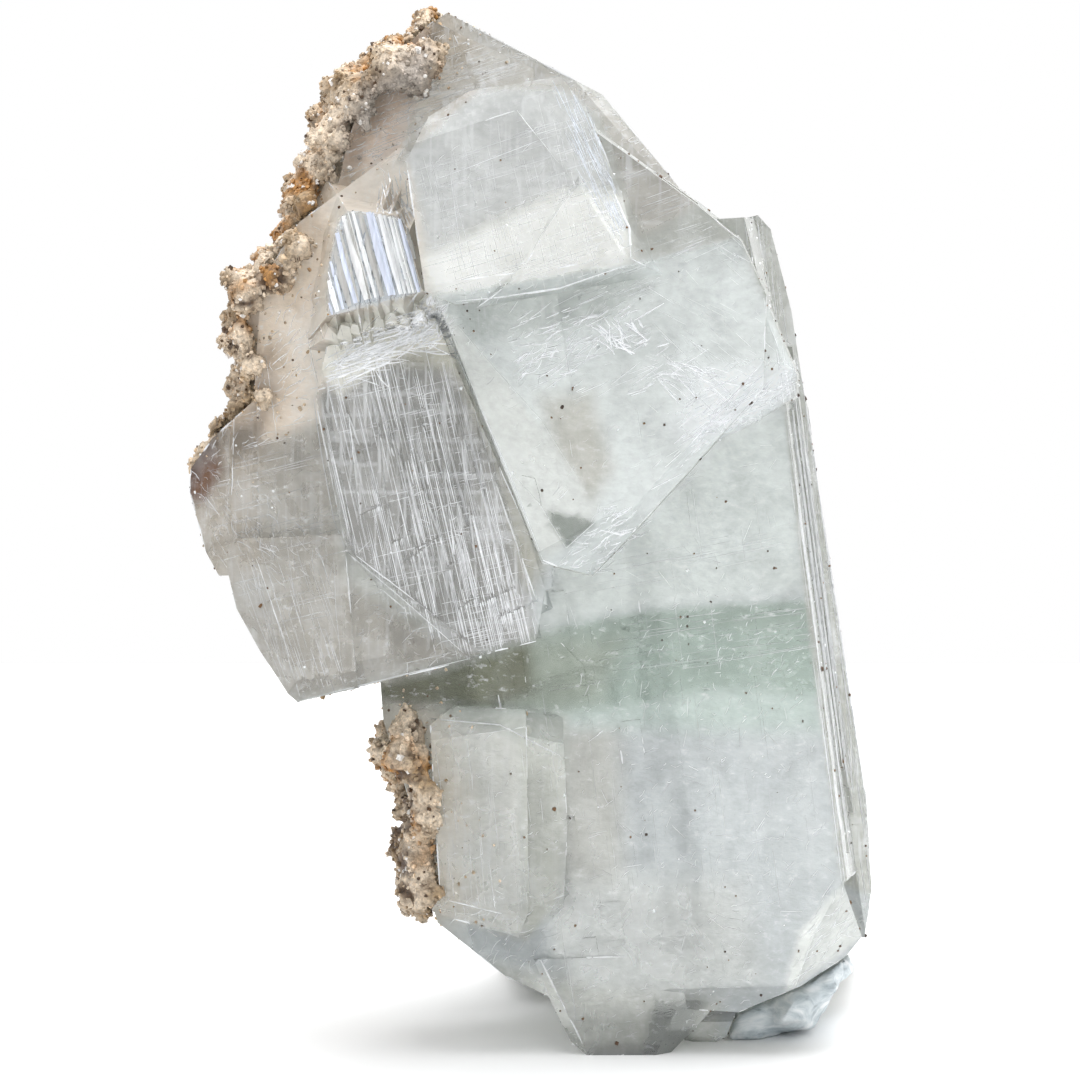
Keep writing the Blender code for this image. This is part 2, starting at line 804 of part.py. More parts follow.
def build():
    remove_startup_objects()
    parts = new_collection("apophyllite_cluster")
    crystals = (
        main_prism()
        + prism_flank()
        + pointed_crystal()
        + top_block()
        + crown()
        + wing()
        + silver_patch()
        + knee()
        + hidden_side()
    )
    clear_green = principled("clear_apophyllite", (0.86, 0.9, 0.88), 0.12, 0.8)
    growth = new_collection("crystal_growth")
    body = joined("apophyllite_crystals", [c.mesh() for c in crystals], parts, growth, clear_green)

    cutters = new_collection("crystal_clearance")
    for crystal in crystals:
        helper(crystal.mesh(GAP), cutters)

    brown = principled("druse", (0.52, 0.4, 0.28), 0.7)
    upper = crust_meshes("peak_crust", PEAK_LUMPS, PEAK_CRUST_DEPTHS, 3, 1, SEED + 4)
    upper += crust_meshes("inner_crust", INNER_LUMPS, INNER_CRUST_DEPTHS, 2, 1, SEED + 6)
    upper += crust_meshes("flank_crust", FLANK_LUMPS, FLANK_CRUST_DEPTHS, 3, 1, SEED + 7)
    crust = joined("druse_crust", upper, parts, new_collection("crust_growth"), brown)
    clear_of(crust, cutters)

    lower = crust_meshes("low_crust", LOWER_LUMPS, LOWER_CRUST_DEPTHS, 3, 1, SEED + 5)
    low = joined("druse_crust_low", lower, parts, new_collection("low_crust_growth"), brown)
    clear_of(low, cutters)

    grey = principled("grey_matrix", (0.42, 0.47, 0.48), 0.5)
    foot = joined("matrix_foot", above_ground(foot_meshes()), parts, new_collection("foot_growth"), grey)
    clear_of(foot, cutters)

    nodes = [body, crust, low, foot]
    for node in nodes:
        without_chips(node)
    centre_on_origin(nodes)


build()
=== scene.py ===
import math
import random

import bmesh
import bpy
import numpy as np
from mathutils import Matrix, Vector, noise
from mathutils.bvhtree import BVHTree


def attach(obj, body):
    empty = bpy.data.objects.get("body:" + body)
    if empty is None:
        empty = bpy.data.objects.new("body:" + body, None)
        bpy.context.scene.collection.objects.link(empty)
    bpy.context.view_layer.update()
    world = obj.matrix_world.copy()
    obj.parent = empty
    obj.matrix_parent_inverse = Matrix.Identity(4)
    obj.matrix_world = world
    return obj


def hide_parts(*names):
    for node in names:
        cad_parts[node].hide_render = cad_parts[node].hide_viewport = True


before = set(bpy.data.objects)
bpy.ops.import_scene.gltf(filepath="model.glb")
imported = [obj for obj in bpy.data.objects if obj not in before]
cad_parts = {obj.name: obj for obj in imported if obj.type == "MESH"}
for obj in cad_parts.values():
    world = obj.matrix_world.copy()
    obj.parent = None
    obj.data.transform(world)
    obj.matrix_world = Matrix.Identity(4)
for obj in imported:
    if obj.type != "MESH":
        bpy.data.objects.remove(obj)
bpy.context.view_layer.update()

# The front is laid out as the eye sees it. Places there are pixels of a 1080 x 1080 picture,
# x to the right and y down, and a ray along the line of sight puts each one on the crystals.
sight = {
    "pixel": 0.086,            # mm of the object to one pixel
    "originPixel": (545.0, 1057.0),
    "downDeg": 11.0,           # the eye looks down this much
    "restDepth": -12.0,        # mm, depth of the lowest point
    "shift": (1.100, -1.156),  # mm, from the drawing's middle to the frame's
    "distance": 2.5,           # m
    "sensor": 36.0,
}
mm = 0.001
sightSin = math.sin(math.radians(sight["downDeg"]))
sightCos = math.cos(math.radians(sight["downDeg"]))
sightLine = Vector((0.0, sightCos, -sightSin))


def placeOf(px, py, depth):
    across = (px - sight["originPixel"][0]) * sight["pixel"]
    up = (sight["originPixel"][1] - py) * sight["pixel"]
    height = (up - (depth - sight["restDepth"]) * sightSin) / sightCos
    return Vector((across + sight["shift"][0], depth + sight["shift"][1], height)) * mm


def pixelsOf(points):
    across = points[:, 0] / mm - sight["shift"][0]
    depth = points[:, 1] / mm - sight["shift"][1]
    up = points[:, 2] / mm * sightCos + (depth - sight["restDepth"]) * sightSin
    px = across / sight["pixel"] + sight["originPixel"][0]
    py = sight["originPixel"][1] - up / sight["pixel"]
    return np.stack([px, py], axis=1)


# Small helpers for meshes

def newObject(name, mesh):
    piece = bpy.data.objects.new(name, mesh)
    bpy.context.scene.collection.objects.link(piece)
    return piece


def meshFrom(bm, name):
    mesh = bpy.data.meshes.new(name)
    bm.to_mesh(mesh)
    bm.free()
    return mesh


def nodeCopy(node):
    bm = bmesh.new()
    bm.from_mesh(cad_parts[node].data)
    bmesh.ops.remove_doubles(bm, verts=bm.verts, dist=0.002 * mm)
    return bm


def evaluatedMesh(piece):
    graph = bpy.context.evaluated_depsgraph_get()
    return bpy.data.meshes.new_from_object(piece.evaluated_get(graph))


def cutAway(bm, place, direction):
    geometry = bm.verts[:] + bm.edges[:] + bm.faces[:]
    cut = bmesh.ops.bisect_plane(bm, geom=geometry, plane_co=place, plane_no=direction, clear_outer=True)
    rim = [item for item in cut["geom_cut"] if isinstance(item, bmesh.types.BMEdge)]
    if len(rim) > 2:
        bmesh.ops.contextual_create(bm, geom=rim)


def unionWith(base, blocks, operation):
    group = bpy.data.collections.new("blocks")
    for block in blocks:
        group.objects.link(block)
    change = base.modifiers.new("join", "BOOLEAN")
    change.operation = operation
    change.operand_type = "COLLECTION"
    change.collection = group
    change.solver = "EXACT"
    mesh = evaluatedMesh(base)
    base.modifiers.clear()
    base.data = mesh
    for block in blocks:
        bpy.data.objects.remove(block)
    bpy.data.collections.remove(group)


def depthInside(outline, pixels):
    # How far each pixel lies inside the outline, negative outside it.
    x, y = pixels[:, 0], pixels[:, 1]
    nearest = np.full(len(x), 1.0e9)
    inside = np.zeros(len(x), dtype=bool)
    for (x0, y0), (x1, y1) in zip(outline, outline[1:] + outline[:1]):
        dx, dy = x1 - x0, y1 - y0
        along = np.clip(((x - x0) * dx + (y - y0) * dy) / (dx * dx + dy * dy), 0.0, 1.0)
        nearest = np.minimum(nearest, np.hypot(x - x0 - along * dx, y - y0 - along * dy))
        crosses = ((y0 > y) != (y1 > y)) & (x < dx * (y - y0) / (dy if dy else 1.0e-9) + x0)
        inside ^= crosses
    return np.where(inside, nearest, -nearest)


def softStep(values, low, high):
    share = np.clip((values - low) / (high - low), 0.0, 1.0)
    return share * share * (3.0 - 2.0 * share)


def joinShapes(name, shapes):
    # Each shape is its points, its faces and one colour.
    points, faces, colours, start = [], [], [], 0
    for shapePoints, shapeFaces, colour in shapes:
        points.append(shapePoints)
        faces.extend(tuple(corner + start for corner in face) for face in shapeFaces)
        colours.append(np.tile(colour, (len(shapePoints), 1)))
        start += len(shapePoints)
    mesh = bpy.data.meshes.new(name)
    mesh.from_pydata(np.concatenate(points), [], faces)
    shade = mesh.attributes.new("shade", "FLOAT_COLOR", "POINT")
    shade.data.foreach_set("color", np.concatenate(colours).astype(np.float32).ravel())
    mesh.update()
    return newObject(name, mesh)


# Small helpers for materials

def newMaterial(name):
    material = bpy.data.materials.new(name)
    material.use_nodes = True
    tree = material.node_tree
    tree.nodes.clear()
    out = tree.nodes.new("ShaderNodeOutputMaterial")
    shader = tree.nodes.new("ShaderNodeBsdfPrincipled")
    tree.links.new(shader.outputs[0], out.inputs["Surface"])
    return material, tree, shader, out


def attributeNode(tree, name):
    node = tree.nodes.new("ShaderNodeAttribute")
    node.attribute_name = name
    return node


def mathNode(tree, operation, first, second=None, third=None, clamp=False):
    node = tree.nodes.new("ShaderNodeMath")
    node.operation = operation
    node.use_clamp = clamp
    for socket, value in zip(node.inputs, (first, second, third)):
        if value is None:
            continue
        if isinstance(value, (int, float)):
            socket.default_value = value
        else:
            tree.links.new(value, socket)
    return node.outputs[0]


def mixColour(tree, share, first, second, blend="MIX"):
    node = tree.nodes.new("ShaderNodeMix")
    node.data_type = "RGBA"
    node.blend_type = blend
    for socket, value in ((node.inputs[0], share), (node.inputs[6], first), (node.inputs[7], second)):
        if isinstance(value, (int, float)):
            socket.default_value = value
        elif isinstance(value, tuple):
            socket.default_value = (*value, 1.0)
        else:
            tree.links.new(value, socket)
    return node.outputs[2]


def scaleRange(tree, value, low, high, toLow, toHigh):
    node = tree.nodes.new("ShaderNodeMapRange")
    tree.links.new(value, node.inputs["Value"])
    node.inputs["From Min"].default_value = low
    node.inputs["From Max"].default_value = high
    node.inputs["To Min"].default_value = toLow
    node.inputs["To Max"].default_value = toHigh
    return node.outputs[0]


def objectPlace(tree, turn=(0.0, 0.0, 0.0), scale=(1.0, 1.0, 1.0)):
    # Object coordinates in millimetres, turned and stretched.
    place = tree.nodes.new("ShaderNodeTexCoord")
    mapping = tree.nodes.new("ShaderNodeMapping")
    mapping.inputs["Rotation"].default_value = [math.radians(angle) for angle in turn]
    mapping.inputs["Scale"].default_value = [1000.0 * share for share in scale]
    tree.links.new(place.outputs["Object"], mapping.inputs["Vector"])
    return mapping.outputs[0]


def noiseNode(tree, vector, scale, detail, roughness=0.5, distortion=0.0):
    node = tree.nodes.new("ShaderNodeTexNoise")
    node.inputs["Scale"].default_value = scale
    node.inputs["Detail"].default_value = detail
    node.inputs["Roughness"].default_value = roughness
    node.inputs["Distortion"].default_value = distortion
    tree.links.new(vector, node.inputs["Vector"])
    return node.outputs[0]


def bumpNode(tree, height, strength, distance):
    node = tree.nodes.new("ShaderNodeBump")
    node.inputs["Strength"].default_value = strength
    node.inputs["Distance"].default_value = distance * mm
    tree.links.new(height, node.inputs["Height"])
    return node.outputs[0]


def mottleGroup():
    # Fine mottling of a colour. It also gives the pattern, for roughness and bumps.
    group = bpy.data.node_groups.new("fine mottle", "ShaderNodeTree")
    group.interface.new_socket("Colour", in_out="OUTPUT", socket_type="NodeSocketColor")
    group.interface.new_socket("Pattern", in_out="OUTPUT", socket_type="NodeSocketFloat")
    group.interface.new_socket("Colour", in_out="INPUT", socket_type="NodeSocketColor")
    group.interface.new_socket("Place", in_out="INPUT", socket_type="NodeSocketVector")
    for name in ("Scale", "Detail", "Coarseness", "Low", "High", "Darkest", "Lightest"):
        group.interface.new_socket(name, in_out="INPUT", socket_type="NodeSocketFloat")
    given = group.nodes.new("NodeGroupInput").outputs
    result = group.nodes.new("NodeGroupOutput").inputs
    pattern = group.nodes.new("ShaderNodeTexNoise")
    noiseInputs = {"Vector": "Place", "Scale": "Scale", "Detail": "Detail", "Roughness": "Coarseness"}
    for socket, name in noiseInputs.items():
        group.links.new(given[name], pattern.inputs[socket])
    spread = group.nodes.new("ShaderNodeMapRange")
    group.links.new(pattern.outputs[0], spread.inputs["Value"])
    spreadInputs = {"From Min": "Low", "From Max": "High", "To Min": "Darkest", "To Max": "Lightest"}
    for socket, name in spreadInputs.items():
        group.links.new(given[name], spread.inputs[socket])
    shaded = mixColour(group, 1.0, given["Colour"], spread.outputs[0], "MULTIPLY")
    group.links.new(shaded, result["Colour"])
    group.links.new(pattern.outputs[0], result["Pattern"])
    return group


mottle = mottleGroup()


def mottled(tree, colour, place, scale, detail, coarseness, low, high, darkest, lightest):
    node = tree.nodes.new("ShaderNodeGroup")
    node.node_tree = mottle
    tree.links.new(colour, node.inputs["Colour"])
    tree.links.new(place, node.inputs["Place"])
    names = ("Scale", "Detail", "Coarseness", "Low", "High", "Darkest", "Lightest")
    for name, value in zip(names, (scale, detail, coarseness, low, high, darkest, lightest)):
        node.inputs[name].default_value = value
    return node.outputs["Colour"], node.outputs["Pattern"]


# Camera, floor and light

def makeCamera():
    data = bpy.data.cameras.new("camera")
    camera = newObject("camera", data)
    middle = placeOf(540.0, 540.0, 0.0)
    camera.location = middle - sightLine * sight["distance"]
    camera.rotation_mode = "QUATERNION"
    camera.rotation_quaternion = sightLine.to_track_quat("-Z", "Y")
    frameWidth = 1080.0 * sight["pixel"] * mm
    data.sensor_width = sight["sensor"]
    data.lens = sight["sensor"] * sight["distance"] / frameWidth
    data.clip_start = 0.01
    data.clip_end = 20.0
    bpy.context.scene.camera = camera


studio = {
    "skyLow": (0.62, 0.65, 0.66),
    "skyHigh": (0.98, 0.99, 1.0),
    "skyStrength": 0.92,
    "farGround": (1.3, 1.3, 1.3),  # the lit ground past the floor's edge, which lights the object from below
    "floorColour": (0.93, 0.93, 0.93),
    "floorReach": 0.16,       # m, beyond it the ground is as white as the sky behind
    "lamps": {  # place in m, width in m, watts
        "key": ((0.07, 0.04, 0.50), 0.50, 3.4),
        "rim": ((0.20, 0.34, 0.30), 0.22, 0.5),
    },
}


def makeStudio():
    scene = bpy.context.scene
    scene.view_settings.view_transform = "Standard"
    world = bpy.data.worlds.new("studio")
    scene.world = world
    world.use_nodes = True
    tree = world.node_tree
    tree.nodes.clear()
    out = tree.nodes.new("ShaderNodeOutputWorld")
    place = tree.nodes.new("ShaderNodeTexCoord")
    split = tree.nodes.new("ShaderNodeSeparateXYZ")
    tree.links.new(place.outputs["Generated"], split.inputs[0])
    ramp = tree.nodes.new("ShaderNodeValToRGB")
    ramp.color_ramp.elements[0].color = (*studio["skyLow"], 1.0)
    ramp.color_ramp.elements[1].position = 0.7
    ramp.color_ramp.elements[1].color = (*studio["skyHigh"], 1.0)
    tree.links.new(split.outputs["Z"], ramp.inputs[0])
    sky = tree.nodes.new("ShaderNodeBackground")
    sky.inputs["Strength"].default_value = studio["skyStrength"]
    below = mathNode(tree, "LESS_THAN", split.outputs["Z"], -0.02)
    tree.links.new(mixColour(tree, below, ramp.outputs[0], studio["farGround"]), sky.inputs["Color"])
    white = tree.nodes.new("ShaderNodeBackground")
    white.inputs["Color"].default_value = (1.0, 1.0, 1.0, 1.0)
    eye = tree.nodes.new("ShaderNodeLightPath")
    mix = tree.nodes.new("ShaderNodeMixShader")
    tree.links.new(eye.outputs["Is Camera Ray"], mix.inputs[0])
    tree.links.new(sky.outputs[0], mix.inputs[1])
    tree.links.new(white.outputs[0], mix.inputs[2])
    tree.links.new(mix.outputs[0], out.inputs["Surface"])
    for name, (spot, width, watts) in studio["lamps"].items():
        data = bpy.data.lights.new(name, "AREA")
        data.energy = watts
        data.size = width
        lamp = newObject(name, data)
        lamp.location = spot
        aim = Vector((0.0, 0.0, 0.04)) - Vector(spot)
        lamp.rotation_euler = aim.to_track_quat("-Z", "Y").to_euler()

    bm = bmesh.new()
    bmesh.ops.create_grid(bm, x_segments=1, y_segments=1, size=studio["floorReach"])
    floor = newObject("floor", meshFrom(bm, "floor"))
    material, _, shader, _ = newMaterial("floor")
    shader.inputs["Base Color"].default_value = (*studio["floorColour"], 1.0)
    shader.inputs["Roughness"].default_value = 0.9
    shader.inputs["Specular IOR Level"].default_value = 0.0
    floor.data.materials.append(material)


makeCamera()
makeStudio()
print("camera, floor and lights are set")


# The crystals: the frame's solid with nibbled edges and growth plates, divided finely

grown = {
    "seed": 7,
    "chipCount": 70,
    "chipSize": (0.5, 1.6),        # mm
    "plateCount": 80,
    "plateSize": (1.4, 5.0),
    "plateRise": (0.06, 0.16),
    "plateDepth": 0.5,
    "leanDeg": 7.5,                # the long prism leans this much to the left at its top
    "frontStep": 0.75,             # mm, longest edge of a front triangle
    "backStep": 1.5,
}
crystalSpots = random.Random(grown["seed"])


def sharpEdges(bm, leastDeg):
    chosen = []
    for edge in bm.edges:
        if len(edge.link_faces) == 2 and edge.calc_face_angle_signed(0.0) > math.radians(leastDeg):
            chosen.append(edge)
    return chosen


def randomTurn(spots):
    axis = Vector((spots.gauss(0, 1), spots.gauss(0, 1), spots.gauss(0, 1))).normalized()
    return Matrix.Rotation(spots.uniform(0.0, math.tau), 3, axis)


def shardObject(name, middle, turn, halves, cuts, spots):
    # A block cut by a few planes, laid with its own axes in turn's columns.
    bm = bmesh.new()
    bmesh.ops.create_cube(bm, size=2.0)
    bmesh.ops.scale(bm, vec=halves, verts=bm.verts)
    for _ in range(cuts):
        way = Vector((spots.gauss(0, 1), spots.gauss(0, 1), spots.gauss(0, 1) * 0.4)).normalized()
        reach = sum(abs(way[i]) * halves[i] for i in range(3))
        cutAway(bm, way * reach * spots.uniform(0.55, 0.8), way)
    bmesh.ops.rotate(bm, verts=bm.verts, matrix=turn)
    bmesh.ops.translate(bm, verts=bm.verts, vec=middle)
    return newObject(name, meshFrom(bm, name))


def chipBlocks(bm):
    # Small blocks across the sharp edges, to be taken away from them.
    edges = [edge for edge in sharpEdges(bm, 18.0) if edge.calc_length() > 2.0 * mm]
    weights = [edge.calc_length() for edge in edges]
    blocks = []
    for number, edge in enumerate(crystalSpots.choices(edges, weights, k=grown["chipCount"])):
        start, end = (vert.co for vert in edge.verts)
        outward = (edge.link_faces[0].normal + edge.link_faces[1].normal).normalized()
        along = (end - start).normalized()
        across = along.cross(outward)
        size = crystalSpots.uniform(*grown["chipSize"]) * mm
        middle = start.lerp(end, crystalSpots.uniform(0.05, 0.95)) + outward * size * 0.72
        tip = Matrix.Rotation(crystalSpots.uniform(-0.5, 0.5), 3, "Y")
        turn = Matrix((along, across, outward)).transposed() @ tip
        halves = (size * crystalSpots.uniform(0.8, 2.4), size * crystalSpots.uniform(0.8, 1.6), size)
        blocks.append(shardObject(f"chip{number}", middle, turn, halves, 3, crystalSpots))
    return blocks


def liesInside(tree, points):
    for point in points:
        spot, normal, _, _ = tree.find_nearest(point)
        if (point - spot).dot(normal) > 0.0:
            return False
    return True


def plateBlocks(bm):
    # Thin growth plates with edges along the crystals' own, on the larger faces.
    tree = BVHTree.FromBMesh(bm)
    faces = [face for face in bm.faces if face.calc_area() > 25.0 * mm * mm]
    weights = [face.calc_area() for face in faces]
    lean = math.radians(grown["leanDeg"])
    axis = Vector((-math.sin(lean), 0.0, math.cos(lean)))
    blocks = []
    for number, face in enumerate(crystalSpots.choices(faces, weights, k=grown["plateCount"])):
        normal = face.normal
        if abs(normal.z) > 0.8:
            continue
        along = (axis - normal * axis.dot(normal)).normalized()
        across = normal.cross(along)
        corners = [vert.co for vert in face.verts]
        middle = face.calc_center_median().lerp(crystalSpots.choice(corners), crystalSpots.uniform(0.1, 0.7))
        rise = crystalSpots.uniform(*grown["plateRise"]) * mm
        long = crystalSpots.uniform(*grown["plateSize"]) * mm
        wide = long * crystalSpots.uniform(0.15, 0.6)
        thick = grown["plateDepth"] * mm
        turn = Matrix((along, across, normal)).transposed()
        rim = [middle + along * x * long + across * y * wide - normal * z * thick
               for x in (-1, 0, 1) for y in (-1, 1) for z in (0.2, 2.0)]
        if liesInside(tree, rim):
            middle -= normal * (thick - rise)
            blocks.append(shardObject(f"plate{number}", middle, turn, (long, wide, thick), 2, crystalSpots))
    return blocks


def divideFinely(bm):
    bmesh.ops.triangulate(bm, faces=bm.faces)
    for _ in range(7):
        longEdges = []
        for edge in bm.edges:
            front = any(face.normal.dot(sightLine) < 0.1 for face in edge.link_faces)
            limit = grown["frontStep"] if front else grown["backStep"]
            if edge.calc_length() > limit * 1.5 * mm:
                longEdges.append(edge)
        if not longEdges:
            break
        bmesh.ops.subdivide_edges(bm, edges=longEdges, cuts=1)
        bmesh.ops.triangulate(bm, faces=[face for face in bm.faces if len(face.verts) > 3])


def growCrystals():
    bm = nodeCopy("apophyllite_crystals")
    bmesh.ops.dissolve_limit(bm, angle_limit=math.radians(0.4), verts=bm.verts, edges=bm.edges)
    bm.normal_update()
    plates = plateBlocks(bm)
    chips = chipBlocks(bm)
    piece = newObject("crystals_grown", meshFrom(bm, "crystals_grown"))
    unionWith(piece, plates, "UNION")
    unionWith(piece, chips, "DIFFERENCE")
    bm = bmesh.new()
    bm.from_mesh(piece.data)
    bmesh.ops.remove_doubles(bm, verts=bm.verts, dist=0.01 * mm)
    bmesh.ops.dissolve_limit(bm, angle_limit=math.radians(0.2), verts=bm.verts, edges=bm.edges)
    bm.normal_update()
    edges = []
    for edge in sharpEdges(bm, 20.0):
        if edge.calc_length() > 0.8 * mm:
            outward = (edge.link_faces[0].normal + edge.link_faces[1].normal).normalized()
            edges.append((edge.verts[0].co.copy(), edge.verts[1].co.copy(), outward))
    divideFinely(bm)
    bm.to_mesh(piece.data)
    print("crystals have", len(bm.faces), "triangles")
    bm.free()
    piece.data.shade_smooth()
    piece.data.set_sharp_from_angle(angle=math.radians(9.0))
    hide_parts("apophyllite_crystals")
    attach(piece, "root")
    return piece, edges


crystals, crystalEdges = growCrystals()

# What the crystals look like, by the part of the front that the eye sees; a few tones are painted shade or
# painted reflection, marked below. Each tone has the outline of the place in pixels, its colour, how softly
# it ends in pixels, and how hazy and how striated it is.
tones = {
    "trunk": ([(500, 380), (800, 380), (880, 900), (840, 1057), (480, 1057), (420, 700)],
        (200, 204, 206), 20, 0.3, 0.1),
    "trunkLeft": ([(556, 724), (618, 722), (626, 900), (560, 950)], (194, 194, 190), 18, 0.3, 0.1),
    "trunkUpper": ([(560, 560), (700, 430), (790, 410), (805, 590), (640, 612), (540, 630)],
        (220, 225, 224), 16, 0.2, 0.1),
    "greenFade": ([(500, 690), (640, 690), (815, 680), (822, 730), (680, 730), (560, 724)],
        (196, 207, 203), 16, 0.2, 0.0),
    "greenBand": ([(500, 642), (550, 630), (610, 617), (670, 609), (740, 605), (808, 601), (818, 694),
                   (720, 690), (640, 704), (560, 708), (440, 706)], (172, 185, 178), 9, 0.15, 0.0),
    "greenEdge": ([(560, 630), (660, 612), (740, 607), (806, 603), (808, 622), (740, 628), (640, 640),
                   (560, 652)],
                  (166, 178, 171), 8, 0.1, 0.0),
    # the green band with painted shade, darker where the wing's shadow falls on it
    "greenBandInWingShadow": ([(440, 668), (530, 636), (620, 640), (600, 700), (552, 712), (440, 708)],
        (167, 175, 165), 18, 0.1, 0.0),
    # painted shade: the trunk's face in the wing's shadow, dark grey-green
    "wingShadowWedge": ([(352, 684), (461, 660), (530, 638), (535, 690), (500, 708), (447, 708), (387, 706)],
        (124, 126, 112), 12, 0.1, 0.0),
    "lowCentre": ([(560, 880), (740, 880), (760, 980), (680, 1010), (560, 990)],
        (204, 206, 205), 24, 0.4, 0.1),
    "lobe": ([(480, 960), (600, 985), (720, 1000), (720, 1057), (480, 1057)], (206, 207, 203), 12, 0.4, 0.1),
    "lobeShade": ([(655, 998), (704, 998), (682, 1057), (640, 1057)], (168, 170, 168), 7, 0.3, 0.1),
    "bevel": ([(842, 884), (864, 935), (785, 992), (798, 932)], (236, 238, 236), 4, 0.3, 0.4),
    "kneeTop": ([(430, 706), (566, 716), (566, 772), (520, 768), (430, 728)], (200, 203, 198), 8, 0.4, 0.1),
    "kneeLeft": ([(395, 705), (470, 722), (520, 740), (525, 938), (420, 910)], (214, 214, 210), 5, 0.5, 0.3),
    "kneeRight": ([(518, 735), (566, 758), (560, 900), (525, 940)], (203, 204, 198), 5, 0.4, 0.2),
    "strip": ([(722, 222), (765, 217), (802, 380), (880, 900), (842, 884), (804, 600), (783, 412),
            (745, 300)], (196, 197, 192), 3, 0.4, 1.0),
    "brow": ([(318, 90), (437, 5), (470, 40), (478, 98), (400, 160), (352, 196), (300, 205)],
        (222, 208, 198), 10, 0.8, 0.3),
    "browShade": ([(398, 80), (440, 34), (462, 52), (446, 92), (402, 112)], (176, 160, 146), 10, 0.6, 0.3),
    "wingUpper": ([(230, 200), (420, 160), (430, 330), (330, 420), (210, 480), (190, 300)],
        (238, 229, 219), 14, 0.6, 0.2),
    "wingMiddle": ([(400, 322), (450, 322), (545, 560), (530, 590), (420, 560), (380, 420)],
        (190, 188, 178), 16, 0.2, 0.3),
    "wingLow": ([(190, 470), (330, 420), (345, 580), (470, 655), (340, 690), (190, 720)],
        (179, 175, 169), 12, 0.5, 0.3),
    "corner": ([(180, 430), (262, 425), (262, 575), (190, 590)], (184, 177, 168), 10, 0.5, 0.3),
    "cornerStain": ([(176, 440), (214, 432), (226, 470), (206, 505), (184, 500)],
        (132, 108, 80), 9, 0.4, 0.2),
    "striated": ([(318, 398), (350, 360), (455, 372), (500, 470), (536, 636), (468, 656), (405, 600),
            (348, 552)], (170, 169, 167), 8, 0.2, 1.0),
    "ledge": ([(322, 374), (335, 322), (424, 296), (443, 300), (446, 345), (400, 356), (342, 396)],
        (226, 224, 216), 6, 0.7, 0.2),
    # painted reflection: the bluish shine of the silvery patch
    "silver": ([(331, 318), (330, 272), (341, 222), (352, 214), (402, 222), (422, 294)],
        (222, 228, 236), 2, 0.3, 1.0),
    "blockTop": ([(405, 160), (480, 93), (580, 95), (612, 190), (560, 195), (430, 250)],
        (210, 211, 211), 8, 0.3, 0.6),
    # painted reflection: the block's low part near white, light reflected inside it
    "blockLowPaintedReflection": ([(425, 262), (560, 196), (625, 200), (628, 268), (560, 292), (440, 308)],
        (254, 254, 250), 10, 0.7, 0.4),
    "crown": ([(437, 5), (600, 100), (700, 205), (640, 240), (600, 120), (560, 92), (470, 96), (400, 165)],
        (200, 197, 192), 6, 0.3, 0.8),
    "tip": ([(433, 300), (629, 268), (737, 240), (795, 378), (745, 425), (640, 530), (590, 573),
            (543, 562)], (228, 232, 232), 3, 0.25, 0.1),
    "tipTop": ([(440, 302), (629, 270), (650, 290), (600, 326), (470, 346)], (198, 203, 201), 12, 0.3, 0.3),
    "tipVeil": ([(700, 372), (797, 366), (790, 400), (745, 425), (690, 450), (665, 430)],
        (240, 243, 245), 14, 0.6, 0.5),
    "tipGrey": ([(540, 400), (590, 395), (612, 470), (590, 505), (560, 470)], (205, 204, 198), 14, 0.3, 0.1),
    "tipSide": ([(433, 300), (500, 375), (580, 480), (595, 522), (545, 562), (508, 470)],
        (229, 231, 229), 3, 0.3, 0.1),
    "tipShade": ([(543, 510), (595, 521), (566, 550)], (160, 165, 160), 2, 0.2, 0.1),
}
otherTone = {"colour": (200, 201, 197), "haze": 1.0, "striated": 0.3}
paint = {
    "veil": 0.10,       # brightness that the gloss adds whatever the base colour
    "gain": 0.77,
    "power": 1.333,
    "stain": (0.52, 0.43, 0.33),
    "stainReach": 4.0,  # mm from the crust
    "stainShare": 0.6,
}


def toneColour(display):
    linear = np.array([(value / 255.0) ** 2.2 for value in display])
    return np.clip((linear - paint["veil"]) / paint["gain"], 0.02, 1.15) ** paint["power"]


